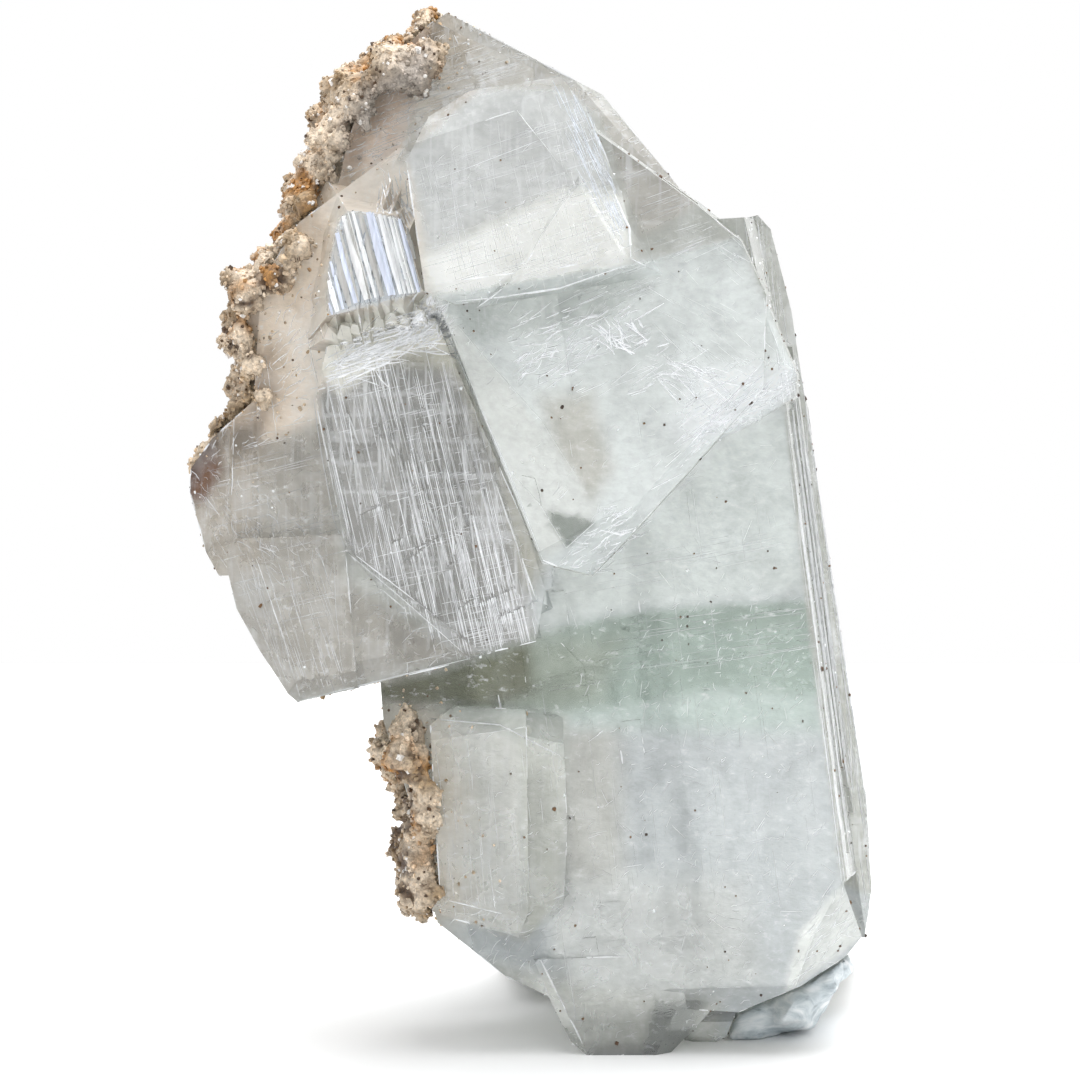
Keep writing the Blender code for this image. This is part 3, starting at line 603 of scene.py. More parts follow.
def paintCrystals(piece, crustTree):
    mesh = piece.data
    loops, verts = len(mesh.loops), len(mesh.vertices)
    corner = np.empty(loops, dtype=np.int32)
    mesh.loops.foreach_get("vertex_index", corner)
    points = np.empty(verts * 3)
    mesh.vertices.foreach_get("co", points)
    points = points.reshape(-1, 3)
    faceMiddle = points[corner.reshape(-1, 3)].mean(axis=1)
    normal = np.empty(len(mesh.polygons) * 3)
    mesh.polygons.foreach_get("normal", normal)
    facing = np.repeat(normal.reshape(-1, 3) @ np.array(sightLine), 3)
    spots = points[corner] * 0.8 + np.repeat(faceMiddle, 3, axis=0) * 0.2
    pixels = pixelsOf(spots)
    front = softStep(-facing, 0.0, 0.12)
    colour = np.tile(toneColour(otherTone["colour"]), (loops, 1))
    haze = np.full(loops, otherTone["haze"])
    lines = np.full(loops, otherTone["striated"])
    for outline, display, soft, hazy, striated in tones.values():
        share = softStep(depthInside(outline, pixels), -soft, soft) * front
        colour += (toneColour(display) - colour) * share[:, None]
        haze += (hazy - haze) * share
        lines += (striated - lines) * share
    near = np.empty(verts)
    for index, point in enumerate(points):
        found = crustTree.find_nearest(Vector(point))
        near[index] = found[3] / mm
    stain = (1.0 - softStep(near[corner], 0.2, paint["stainReach"])) * paint["stainShare"]
    colour += (colour * np.array(paint["stain"]) * 1.6 - colour) * stain[:, None]
    attribute = mesh.attributes.new("tone", "FLOAT_COLOR", "CORNER")
    values = np.concatenate([colour, np.ones((loops, 1))], axis=1).astype(np.float32)
    attribute.data.foreach_set("color", values.ravel())
    for name, field in (("haze", haze), ("striated", lines), ("stained", stain)):
        attribute = mesh.attributes.new(name, "FLOAT", "CORNER")
        attribute.data.foreach_set("value", field.astype(np.float32))


crystalFinish = {
    "transmission": 0.62,
    "ior": 1.535,
    "absorb": (0.912, 0.932, 0.920),
    "density": 8.0,
    "roughClear": 0.12,
    "roughHazy": 0.60,
}


def crystalMaterial():
    material, tree, shader, out = newMaterial("apophyllite")
    shader.inputs["Transmission Weight"].default_value = crystalFinish["transmission"]
    shader.inputs["IOR"].default_value = crystalFinish["ior"]
    tone = attributeNode(tree, "tone").outputs["Color"]
    haze = attributeNode(tree, "haze").outputs["Fac"]
    striated = attributeNode(tree, "striated").outputs["Fac"]
    broad = noiseNode(tree, objectPlace(tree, (0, -10, 0), (1.0, 1.0, 0.8)), 0.30, 3.0, 0.65, 0.5)
    fine = noiseNode(tree, objectPlace(tree, (0, -14, 0), (0.6, 1.0, 1.0)), 1.7, 3.0, 0.7)
    streak = noiseNode(tree, objectPlace(tree, (0, -11, 0), (1.0, 1.0, 0.035)), 2.6, 1.0, 0.6)
    cross = noiseNode(tree, objectPlace(tree, (0, -14, 0), (0.07, 0.3, 1.0)), 1.6, 0.0, 0.5)
    lines = scaleRange(tree, streak, 0.52, 0.70, 0.0, 1.0)
    crossLines = scaleRange(tree, cross, 0.60, 0.78, 0.0, 0.6)
    both = mathNode(tree, "MAXIMUM", lines, crossLines)
    linesHere = mathNode(tree, "MULTIPLY", both, striated, clamp=True)
    cloud = mathNode(tree, "MULTIPLY", scaleRange(tree, broad, 0.48, 0.74, 0.0, 0.6), haze, clamp=True)
    dull = mathNode(tree, "MULTIPLY", scaleRange(tree, broad, 0.28, 0.55, 0.82, 1.03),
                    scaleRange(tree, fine, 0.30, 0.62, 0.84, 1.04))
    shaded = mixColour(tree, 1.0, tone, dull, "MULTIPLY")
    clouded = mixColour(tree, cloud, shaded, (0.90, 0.91, 0.92))
    wisps = scaleRange(tree, fine, 0.60, 0.74, 0.0, 0.65)
    wisped = mixColour(tree, wisps, clouded, (0.93, 0.94, 0.96))
    lined = mixColour(tree, mathNode(tree, "MULTIPLY", linesHere, 0.6), wisped, (0.95, 0.96, 0.99))
    tree.links.new(lined, shader.inputs["Base Color"])
    rough = scaleRange(tree, mathNode(tree, "ADD", cloud, mathNode(tree, "MULTIPLY", haze, 0.5)), 0.0, 0.9,
                       crystalFinish["roughClear"], crystalFinish["roughHazy"])
    tree.links.new(rough, shader.inputs["Roughness"])
    tree.links.new(bumpNode(tree, fine, 0.30, 0.10), shader.inputs["Normal"])
    absorb = tree.nodes.new("ShaderNodeVolumeAbsorption")
    absorb.inputs["Color"].default_value = (*crystalFinish["absorb"], 1.0)
    absorb.inputs["Density"].default_value = crystalFinish["density"]
    tree.links.new(absorb.outputs[0], out.inputs["Volume"])
    return material


# The druse: the frame's crust made lumpy, with thousands of grains on it

druse = {
    "nodes": ("druse_crust", "druse_crust_low"),
    "voxel": 0.40,
    "lumpRise": 0.5,
    "grains": 8500,
    "strays": 1900,          # grains on the crystals beside the crust
    "strayReach": 4.5,       # mm
    "grainSize": (0.08, 0.22),
    "greyPart": [(430, 40), (445, 100), (380, 180), (330, 215), (345, 130), (360, 90)],
    "darkRim": [(376, 715), (384, 715), (412, 790), (420, 812), (404, 850), (404, 896), (385, 880),
                (385, 840), (404, 810)],
    "rustyRim": [(420, 4), (330, 70), (300, 150), (276, 215), (205, 275), (205, 310), (262, 268),
                 (310, 222), (334, 150), (352, 98), (430, 34)],
    "seed": 23,
}
druseColours = {
    "tan": (0.38, 0.27, 0.16),
    "cream": (0.68, 0.56, 0.43),
    "orange": (0.40, 0.20, 0.06),
    "umber": (0.09, 0.050, 0.025),
    "lilac": (0.42, 0.38, 0.35),
    "pale": (0.84, 0.80, 0.76),
}


def lumpyCopy(node, name, voxel, rise, waves, toned=False):
    piece = newObject(name, meshFrom(nodeCopy(node), name))
    change = piece.modifiers.new("remesh", "REMESH")
    change.mode = "VOXEL"
    change.voxel_size = voxel * mm
    mesh = evaluatedMesh(piece)
    piece.modifiers.clear()
    piece.data = mesh
    bm = bmesh.new()
    bm.from_mesh(mesh)
    bmesh.ops.smooth_vert(bm, verts=bm.verts, factor=0.6, use_axis_x=True, use_axis_y=True, use_axis_z=True)
    bm.normal_update()
    floorLevel = 0.02 * mm
    tones = []
    areas = druseAreas([vert.co for vert in bm.verts]) if toned else [None] * len(bm.verts)
    for vert, area in zip(bm.verts, areas):
        shift = sum(share * noise.noise(vert.co / mm * frequency) for frequency, share in waves)
        # the tone follows the lump height: painted highlight on the lumps, painted shade in the hollows
        if toned:
            tones.append(druseTone(vert.co, shift, area))
        vert.co += vert.normal * shift * rise * mm
        vert.co.z = max(vert.co.z, floorLevel)
    bm.to_mesh(mesh)
    bm.free()
    if toned:
        shade = mesh.attributes.new("shade", "FLOAT_COLOR", "POINT")
        shade.data.foreach_set("color", np.array([[*tone, 1.0] for tone in tones], dtype=np.float32).ravel())
    mesh.shade_smooth()
    return piece


def surfaceSamples(mesh, count, spots):
    # Points spread evenly over a mesh by area, with the normals there.
    mesh.calc_loop_triangles()
    triangles = np.array([triangle.vertices for triangle in mesh.loop_triangles])
    points = np.array([vert.co for vert in mesh.vertices])
    first, second, third = (points[triangles[:, i]] for i in range(3))
    normals = np.cross(second - first, third - first)
    areas = np.linalg.norm(normals, axis=1)
    normals /= np.maximum(areas, 1.0e-12)[:, None]
    drawn = np.random.default_rng(spots)
    chosen = drawn.choice(len(triangles), count, p=areas / areas.sum())
    u, v = drawn.random(count), drawn.random(count)
    over = u + v > 1.0
    u[over], v[over] = 1.0 - u[over], 1.0 - v[over]
    places = first[chosen] + (second - first)[chosen] * u[:, None] + (third - first)[chosen] * v[:, None]
    return places, normals[chosen]


def grainTemplates():
    # Three kinds of grain: a blocky one, a prism with a blunt point, and a lump.
    templates = []
    for kind in ("block", "prism", "lump"):
        bm = bmesh.new()
        if kind == "lump":
            bmesh.ops.create_icosphere(bm, subdivisions=1, radius=1.0)
            for vert in bm.verts:
                vert.co *= 1.0 + 0.3 * noise.noise(vert.co * 2.3)
        else:
            bmesh.ops.create_cube(bm, size=1.7)
            if kind == "prism":
                bmesh.ops.scale(bm, vec=(0.8, 0.8, 1.5), verts=bm.verts)
                for x, y in ((1, 0), (-1, 0), (0, 1), (0, -1)):
                    cutAway(bm, Vector((0, 0, 1.35)), Vector((x, y, 0.7)).normalized())
            else:
                for way in ((1, 1, 0.8), (-1, 0.6, 0.7), (0.4, -1, 0.9), (-0.8, -0.9, -0.3)):
                    cutAway(bm, Vector(way).normalized() * 0.95, Vector(way).normalized())
        bmesh.ops.triangulate(bm, faces=bm.faces)
        bm.verts.index_update()
        points = np.array([vert.co for vert in bm.verts])
        templates.append((points, [tuple(vert.index for vert in face.verts) for face in bm.faces]))
        bm.free()
    return templates


def druseAreas(places):
    # How far each place belongs to the rusty rim, the grey part and the dark rim.
    pixels = pixelsOf(np.array(places))
    return np.stack([softStep(depthInside(druse["rustyRim"], pixels), -8.0, 12.0),
                     softStep(depthInside(druse["greyPart"], pixels), -16.0, 20.0),
                     softStep(depthInside(druse["darkRim"], pixels), -10.0, 6.0)], axis=1)


def druseTone(place, rise, area):
    # Cream and tan lumps with orange stain, greyer where the crust meets the peak; rise paints the raised
    # lumps creamier, a painted highlight, and the hollows umber, a painted shade.
    rim, inner, outer = (float(share) for share in area)
    spot = place / mm
    # painted highlight: cream grows with the lump's rise
    patch = 0.5 + noise.noise(spot * 0.24 + Vector((3, 7, 1))) * 1.5 + rise * 0.5
    rust = (noise.noise(spot * 0.33 + Vector((11, 2, 5))) - 0.22 + rim * 0.30) * 3.2
    # painted shade: umber in the hollows, where rise is low
    hollowShade = -0.25 - rise * 1.5 + noise.noise(spot * 0.8) * 0.6 + outer * 0.7
    colour = np.array(druseColours["tan"])
    for name, share in (("cream", patch), ("orange", rust * 0.85), ("lilac", inner * 0.8), ("umber", hollowShade)):
        colour = colour + (np.array(druseColours[name]) - colour) * min(max(share, 0.0), 1.0)
    return colour


def grainOn(place, normal, area, templates, spots, rise, small=1.0):
    size = spots.uniform(*druse["grainSize"]) * mm * small * (1.7 if spots.random() < 0.06 else 1.0)
    points, faces = spots.choice(templates)
    spot = Vector(place) + Vector(normal) * size * 0.25
    if spot.z < size:
        return None
    moved = points @ np.array(randomTurn(spots)).T * size + np.array(spot)
    pick = spots.random()
    if pick < 0.07:
        tone = np.array(druseColours["pale"])
    elif pick < 0.11:
        tone = np.array(druseColours["umber"])
    else:
        tone = druseTone(spot, rise, area) * spots.uniform(0.7, 1.35)
    return moved, faces, np.array([*np.clip(tone, 0.0, 0.95), 1.0])


def makeDruse():
    spots = random.Random(druse["seed"])
    templates = grainTemplates()
    waves = ((0.30, 0.9), (0.75, 1.0), (1.6, 0.6), (3.4, 0.3))
    pieces = []
    for number, node in enumerate(druse["nodes"]):
        piece = lumpyCopy(node, node + "_lumpy", druse["voxel"], druse["lumpRise"], waves, True)
        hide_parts(node)
        share = 0.78 if number == 0 else 0.22
        places, normals = surfaceSamples(piece.data, int(druse["grains"] * share), druse["seed"] + number)
        shapes = [grainOn(place, normal, area, templates, spots, 0.1)
                  for place, normal, area in zip(places, normals, druseAreas(places))]
        grains = joinShapes(node + "_grains", [shape for shape in shapes if shape])
        pieces += [piece, grains]
    return pieces


def strayGrains(crustTree):
    # Grains that the crust has left on the crystals beside it.
    spots = random.Random(druse["seed"] + 9)
    templates = grainTemplates()
    places, normals = surfaceSamples(crystals.data, druse["strays"] * 8, druse["seed"] + 9)
    shapes = []
    for place, normal, area in zip(places, normals, druseAreas(places)):
        reach = crustTree.find_nearest(Vector(place))[3] / mm
        if spots.random() > math.exp(-reach / druse["strayReach"] * 2.5):
            continue
        shape = grainOn(place, normal, area, templates, spots, -0.05, 0.62)
        if shape:
            shapes.append(shape)
    print(len(shapes), "stray grains")
    return joinShapes("stray_grains", shapes)


def druseMaterial():
    material, tree, shader, _ = newMaterial("druse")
    base = attributeNode(tree, "shade").outputs["Color"]
    worn, fine = mottled(tree, base, objectPlace(tree), 2.6, 2.0, 0.75, 0.3, 0.7, 0.55, 1.35)
    tree.links.new(worn, shader.inputs["Base Color"])
    tree.links.new(scaleRange(tree, fine, 0.3, 0.7, 0.30, 0.70), shader.inputs["Roughness"])
    tree.links.new(bumpNode(tree, fine, 0.8, 0.2), shader.inputs["Normal"])
    return material


crystalMesh = crystals.data
crystalTree = BVHTree.FromPolygons([vert.co for vert in crystalMesh.vertices],
                                   [tuple(face.vertices) for face in crystalMesh.polygons])
druseFinish = druseMaterial()
crustPieces = makeDruse()
crustPoints, crustFaces = [], []
for piece in crustPieces[::2]:
    start = len(crustPoints)
    crustPoints.extend(vert.co.copy() for vert in piece.data.vertices)
    crustFaces.extend(tuple(i + start for i in face.vertices) for face in piece.data.polygons)
crustTree = BVHTree.FromPolygons(crustPoints, crustFaces)
for piece in crustPieces + [strayGrains(crustTree)]:
    piece.data.materials.clear()
    piece.data.materials.append(druseFinish)
    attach(piece, "root")
print("druse is grown")

paintCrystals(crystals, crustTree)
crystals.data.materials.clear()
crystals.data.materials.append(crystalMaterial())
print("crystals are painted")


# Marks on the crystals: growth lines, scratches, cracks and bruised edges, each a thin three-sided thread
# that follows the surface, white as healed crystal; along the edges and on the fractures the white is also
# painted highlight.

rodTemplates = {}


def rodTemplate(sections):
    # A three-sided rod along Z with a ring of points at each whole number.
    if sections not in rodTemplates:
        bm = bmesh.new()
        bmesh.ops.create_cone(bm, cap_ends=True, segments=3, radius1=1.0, radius2=1.0, depth=sections)
        bmesh.ops.translate(bm, verts=bm.verts, vec=(0.0, 0.0, sections / 2.0))
        for level in range(1, sections):
            geometry = bm.verts[:] + bm.edges[:] + bm.faces[:]
            bmesh.ops.bisect_plane(bm, geom=geometry, plane_co=(0.0, 0.0, level), plane_no=(0.0, 0.0, 1.0))
        bm.verts.ensure_lookup_table()
        first = bm.verts[0].co
        turn = math.pi / 2.0 - math.atan2(first.y, first.x)
        bmesh.ops.rotate(bm, verts=bm.verts, matrix=Matrix.Rotation(turn, 3, "Z"))
        bm.verts.index_update()
        faces = [tuple(vert.index for vert in face.verts) for face in bm.faces]
        rodTemplates[sections] = (np.array([vert.co for vert in bm.verts]), faces)
        bm.free()
    return rodTemplates[sections]


def threadShape(path, normals, width, height, colour):
    sections = len(path) - 1
    template, faces = rodTemplate(sections)
    path, normals = np.array(path), np.array(normals)
    along = np.gradient(path, axis=0)
    sides = np.cross(normals, along)
    sides /= np.maximum(np.linalg.norm(sides, axis=1), 1.0e-9)[:, None]
    level = np.clip(np.rint(template[:, 2]).astype(int), 0, sections)
    taper = np.sqrt(np.clip(np.sin(np.pi * (level + 0.25) / (sections + 0.5)), 0.0, 1.0))
    points = path[level]
    points = points + sides[level] * (template[:, 0] * width * 0.5 * taper)[:, None]
    points = points + normals[level] * (template[:, 1] * height * taper)[:, None]
    return points, faces, colour


def eyeHit(tree, px, py):
    start = placeOf(px, py, -90.0)
    return tree.ray_cast(start, sightLine, 0.3)


def tracedPath(tree, pixels, step=5.0, jump=0.8):
    # The surface points under a line of pixels, up to where the surface steps away.
    path, normals = [], []
    for (x0, y0), (x1, y1) in zip(pixels, pixels[1:]):
        count = max(1, int(math.hypot(x1 - x0, y1 - y0) / step))
        for number in range(count + 1):
            share = number / count
            place, normal, _, _ = eyeHit(tree, x0 + (x1 - x0) * share, y0 + (y1 - y0) * share)
            if place is None or (path and (place - path[-1]).length > (jump + step * sight["pixel"]) * mm):
                return path, normals
            if path and (place - path[-1]).length < 0.02 * mm:
                continue
            path.append(place)
            normals.append(normal)
    return path, normals


def walkedPath(tree, place, normal, direction, length, step=0.5):
    path, normals = [place], [normal]
    for _ in range(int(length / step)):
        direction = (direction - normals[-1] * direction.dot(normals[-1])).normalized()
        found, nextNormal, _, _ = tree.find_nearest(path[-1] + direction * step * mm)
        if found is None or nextNormal.dot(normals[0]) < 0.97:
            break
        path.append(found)
        normals.append(nextNormal)
    return path, normals


# Lines seen from the front: the outline they lie in, their slope in degrees (rising to the right), its
# spread, how many, their length and width in mm, their colour, how opaque they are and how many pixels apart
# their tracks are. Growth lines keep to tracks; 0 is for scratches, which lie anywhere.
# white of healed crystal; on the edges and fractures it also stands for painted glints
frostAndGlint = (0.97, 0.98, 1.0)
silver = (0.90, 0.94, 1.0)
lineSets = [
    ([(318, 400), (350, 366), (455, 376), (500, 470), (536, 636), (468, 656), (405, 600), (348, 552)],
     -77.0, 0.4, 330, (3.0, 15.0), (0.05, 0.15), frostAndGlint, (0.25, 0.95), 6.5),
    ([(318, 400), (350, 366), (455, 376), (536, 636), (468, 656), (405, 600), (348, 552)],
     13.0, 0.8, 80, (1.5, 8.0), (0.05, 0.10), frostAndGlint, (0.25, 0.75), 11.0),
    ([(458, 532), (499, 542), (530, 640), (476, 652)],
     -77.0, 0.3, 80, (3.0, 9.0), (0.06, 0.16), frostAndGlint, (0.5, 1.0), 6.0),
    ([(458, 532), (499, 542), (530, 640), (476, 652)],
     13.0, 0.5, 40, (1.5, 4.0), (0.05, 0.10), frostAndGlint, (0.5, 0.9), 7.0),
    ([(225, 400), (330, 420), (340, 560), (300, 690), (240, 640), (200, 520)],
     14.0, 1.5, 90, (1.5, 9.0), (0.05, 0.10), frostAndGlint, (0.2, 0.6), 13.0),
    ([(235, 560), (330, 560), (345, 680), (290, 705)],
     -72.0, 1.0, 60, (2.0, 9.0), (0.05, 0.12), frostAndGlint, (0.2, 0.7), 9.0),
    ([(410, 180), (560, 120), (612, 190), (622, 262), (457, 300)],
     -76.0, 1.0, 190, (0.8, 6.0), (0.04, 0.10), frostAndGlint, (0.2, 0.6), 5.0),
    ([(410, 180), (560, 120), (612, 190), (622, 262), (457, 300)],
     17.0, 1.0, 190, (0.8, 7.0), (0.04, 0.10), frostAndGlint, (0.2, 0.6), 6.0),
    ([(555, 100), (585, 100), (626, 230), (612, 240), (585, 190)],
     -66.0, 7.0, 150, (0.6, 4.0), (0.06, 0.18), silver, (0.4, 0.95), 0),
    ([(440, 20), (600, 100), (690, 205), (640, 235), (600, 120), (560, 92), (470, 100)],
     20.0, 2.0, 110, (2.0, 12.0), (0.05, 0.12), frostAndGlint, (0.2, 0.65), 9.0),
    ([(400, 60), (520, 60), (480, 110), (400, 165), (340, 180)],
     20.0, 3.0, 110, (1.5, 8.0), (0.05, 0.12), frostAndGlint, (0.2, 0.65), 8.0),
    ([(735, 235), (762, 225), (803, 400), (868, 800), (872, 900), (842, 884), (804, 600), (783, 412)],
     -82.5, 0.8, 200, (3.0, 16.0), (0.05, 0.16), frostAndGlint, (0.3, 0.95), 4.0),
    ([(540, 560), (800, 420), (830, 760), (840, 880), (700, 980), (540, 940)],
     -83.0, 1.0, 60, (1.0, 8.0), (0.04, 0.08), frostAndGlint, (0.15, 0.4), 14.0),
    ([(540, 560), (800, 420), (830, 760), (840, 880), (700, 980), (540, 940)],
     5.0, 90.0, 170, (0.4, 2.2), (0.05, 0.12), frostAndGlint, (0.25, 0.8), 0),
    ([(640, 290), (737, 240), (795, 378), (700, 450)],
     -38.0, 14.0, 70, (1.0, 6.0), (0.05, 0.12), frostAndGlint, (0.25, 0.8), 0),
    ([(500, 320), (640, 300), (700, 360), (640, 400), (540, 400)],
     28.0, 12.0, 90, (0.6, 4.0), (0.06, 0.22), frostAndGlint, (0.4, 1.0), 0),
    ([(690, 380), (795, 375), (745, 425), (700, 450), (650, 500)],
     34.0, 10.0, 90, (0.6, 4.0), (0.06, 0.2), frostAndGlint, (0.4, 0.95), 0),
    ([(700, 215), (740, 235), (640, 300), (560, 305)],
     22.0, 6.0, 60, (1.0, 6.0), (0.05, 0.12), frostAndGlint, (0.3, 0.8), 0),
    ([(430, 718), (560, 760), (520, 935), (430, 900)],
     -84.0, 1.5, 60, (1.0, 7.0), (0.05, 0.10), frostAndGlint, (0.2, 0.6), 12.0),
    ([(330, 352), (440, 300), (440, 335), (320, 400)],
     20.0, 9.0, 110, (1.0, 6.0), (0.08, 0.30), frostAndGlint, (0.6, 1.0), 0),
    ([(640, 618), (800, 606), (820, 650), (560, 690)],
     8.0, 2.0, 60, (2.0, 9.0), (0.05, 0.16), frostAndGlint, (0.15, 0.45), 0),
    ([(560, 560), (800, 525), (800, 560), (560, 596)],
     11.0, 1.0, 30, (2.0, 10.0), (0.05, 0.10), frostAndGlint, (0.2, 0.5), 6.0),
]
# Cracks and ledges that stand out, each a line of pixels with its width in mm and how opaque it is.
cracks = [
    ([(410, 223), (428, 229), (442, 227), (462, 208), (500, 190)], 0.12, 0.8),
    ([(436, 184), (470, 172), (545, 143)], 0.12, 0.7),
    ([(438, 258), (480, 240), (560, 208)], 0.10, 0.6),
    ([(575, 186), (556, 218), (540, 240), (522, 276)], 0.10, 0.6),
    ([(457, 304), (500, 300), (560, 291), (627, 268)], 0.30, 0.9),
    ([(612, 195), (628, 232), (630, 266)], 0.35, 0.9),
    ([(433, 302), (470, 385), (508, 470), (543, 560)], 0.16, 0.8),
    ([(543, 560), (566, 570), (592, 573), (612, 552)], 0.40, 0.95),
    ([(445, 312), (500, 376), (540, 420), (578, 480)], 0.10, 0.6),
    ([(600, 530), (620, 535), (640, 528)], 0.30, 0.9),
    ([(508, 470), (540, 505), (566, 548)], 0.12, 0.7),
    ([(595, 522), (566, 548)], 0.14, 0.8),
    ([(238, 560), (262, 628), (288, 690)], 0.12, 0.5),
    ([(253, 562), (272, 640), (296, 700)], 0.10, 0.5),
    ([(268, 565), (284, 620), (300, 668)], 0.10, 0.4),
    ([(335, 556), (337, 610), (342, 660), (348, 690)], 0.10, 0.5),
    ([(400, 664), (452, 652)], 0.12, 0.7),
    ([(300, 700), (400, 675), (470, 658)], 0.20, 0.7),
    ([(430, 718), (500, 724), (566, 758)], 0.22, 0.7),
    ([(315, 400), (322, 450), (335, 520), (348, 552)], 0.16, 0.7),
    ([(348, 552), (405, 600), (468, 656)], 0.16, 0.8),
]
marks = {
    "seed": 5,
    "otherLines": 1000,
    "edgeRuns": 620,
    "specks": 1500,
    "speckSize": (0.04, 0.11),   # mm
    "lineRise": 0.22,            # how far a mark stands out, as a share of its width
    "crackRise": 0.25,
    "edgeRunRise": 0.35,
    "strokeRise": 0.3,
}
markSpots = random.Random(marks["seed"])


def inOutline(outline):
    low = [min(point[i] for point in outline) for i in range(2)]
    high = [max(point[i] for point in outline) for i in range(2)]
    while True:
        spot = (markSpots.uniform(low[0], high[0]), markSpots.uniform(low[1], high[1]))
        if depthInside(outline, np.array([spot]))[0] > 0.0:
            return spot


def markColour(colour, opaque):
    return np.array([*colour, opaque])


def frontLines(tree):
    shapes = []
    for outline, slope, spread, count, length, width, colour, opaque, track in lineSets:
        for _ in range(count):
            px, py = inOutline(outline)
            angle = math.radians(slope + markSpots.uniform(-spread, spread))
            if track:
                level = px * math.sin(angle) + py * math.cos(angle)
                step = round(level / track)
                shift = (step + 0.35 * math.sin(step * 12.9)) * track - level
                px, py = px + math.sin(angle) * shift, py + math.cos(angle) * shift
            reach = markSpots.uniform(*length) * markSpots.random() ** 0.5 / sight["pixel"] * 0.5
            dx, dy = math.cos(angle) * reach, -math.sin(angle) * reach
            ends = [(px - dx, py - dy), (px + dx, py + dy)]
            path, normals = tracedPath(tree, ends, 6.0)
            if len(path) < 2:
                continue
            wide = markSpots.uniform(*width) * mm
            shade = markColour(colour, markSpots.uniform(*opaque))
            shapes.append(threadShape(path, normals, wide, wide * marks["lineRise"], shade))
    for pixels, width, opaque in cracks:
        path, normals = tracedPath(tree, pixels, 5.0, 1.6)
        if len(path) > 1:
            wide = width * mm
            shade = markColour(frostAndGlint, opaque)
            shapes.append(threadShape(path, normals, wide, wide * marks["crackRise"], shade))
    return shapes


def otherLines(tree):
    # Scratches and growth lines on every face, the hidden ones too.
    shapes = []
    places, normals = surfaceSamples(crystals.data, marks["otherLines"], marks["seed"])
    lean = math.radians(grown["leanDeg"])
    axis = Vector((-math.sin(lean), 0.0, math.cos(lean)))
    for place, normal in zip(places, normals):
        normal = Vector(normal)
        front = normal.dot(sightLine) < -0.1
        if markSpots.random() < (0.2 if front else 0.75):
            direction, length = axis, markSpots.uniform(1.0, 9.0)
        else:
            direction, length = randomTurn(markSpots) @ Vector((1, 0, 0)), markSpots.uniform(0.4, 2.0)
        path, pathNormals = walkedPath(tree, Vector(place), normal, direction, length)
        if len(path) > 1:
            wide = markSpots.uniform(0.05, 0.13) * mm
            opaque = markSpots.uniform(0.15, 0.6)
            shade = markColour(frostAndGlint, opaque)
            shapes.append(threadShape(path, pathNormals, wide, wide * marks["lineRise"], shade))
    return shapes


def bruisedAndHighlitEdges(edges):
    # White runs along the sharp edges: bruising, and painted highlight where the edges catch the light.
    shapes = []
    weights = [(end - start).length for start, end, _ in edges]
    for start, end, normal in markSpots.choices(edges, weights, k=marks["edgeRuns"]):
        low = markSpots.uniform(0.0, 0.9)
        high = min(1.0, low + markSpots.uniform(0.05, 0.5))
        count = max(2, int((end - start).length * (high - low) / (0.6 * mm)))
        path = [start.lerp(end, low + (high - low) * i / count) for i in range(count + 1)]
        path = [place + randomTurn(markSpots) @ Vector((0.02 * mm, 0, 0)) for place in path]
        wide = markSpots.uniform(0.06, 0.24) * mm
        shade = markColour(frostAndGlint, markSpots.uniform(0.3, 0.9))
        shapes.append(threadShape(path, [normal] * len(path), wide, wide * marks["edgeRunRise"], shade))
    return shapes


def dustSpecks(templates):
    shapes = []
    places, normals = surfaceSamples(crystals.data, marks["specks"], marks["seed"] + 1)
    for place, normal in zip(places, normals):
        density = 0.5 + noise.noise(Vector(place) / mm * 0.12 + Vector((5, 1, 8)))
        if markSpots.random() > density + 0.25:
            continue
        size = markSpots.uniform(*marks["speckSize"]) * mm * (1.0 if markSpots.random() < 0.9 else 1.8)
        points, faces = markSpots.choice(templates)
        turn = np.array(randomTurn(markSpots))
        moved = points @ turn.T * size + place + normal * size * 0.3
        shade = markSpots.choice(((0.10, 0.05, 0.025), (0.05, 0.03, 0.02), (0.17, 0.09, 0.04)))
        if markSpots.random() < 0.3:
            shade = (0.95, 0.96, 0.97)
        shapes.append((moved, faces, markColour(shade, 1.0)))
    return shapes


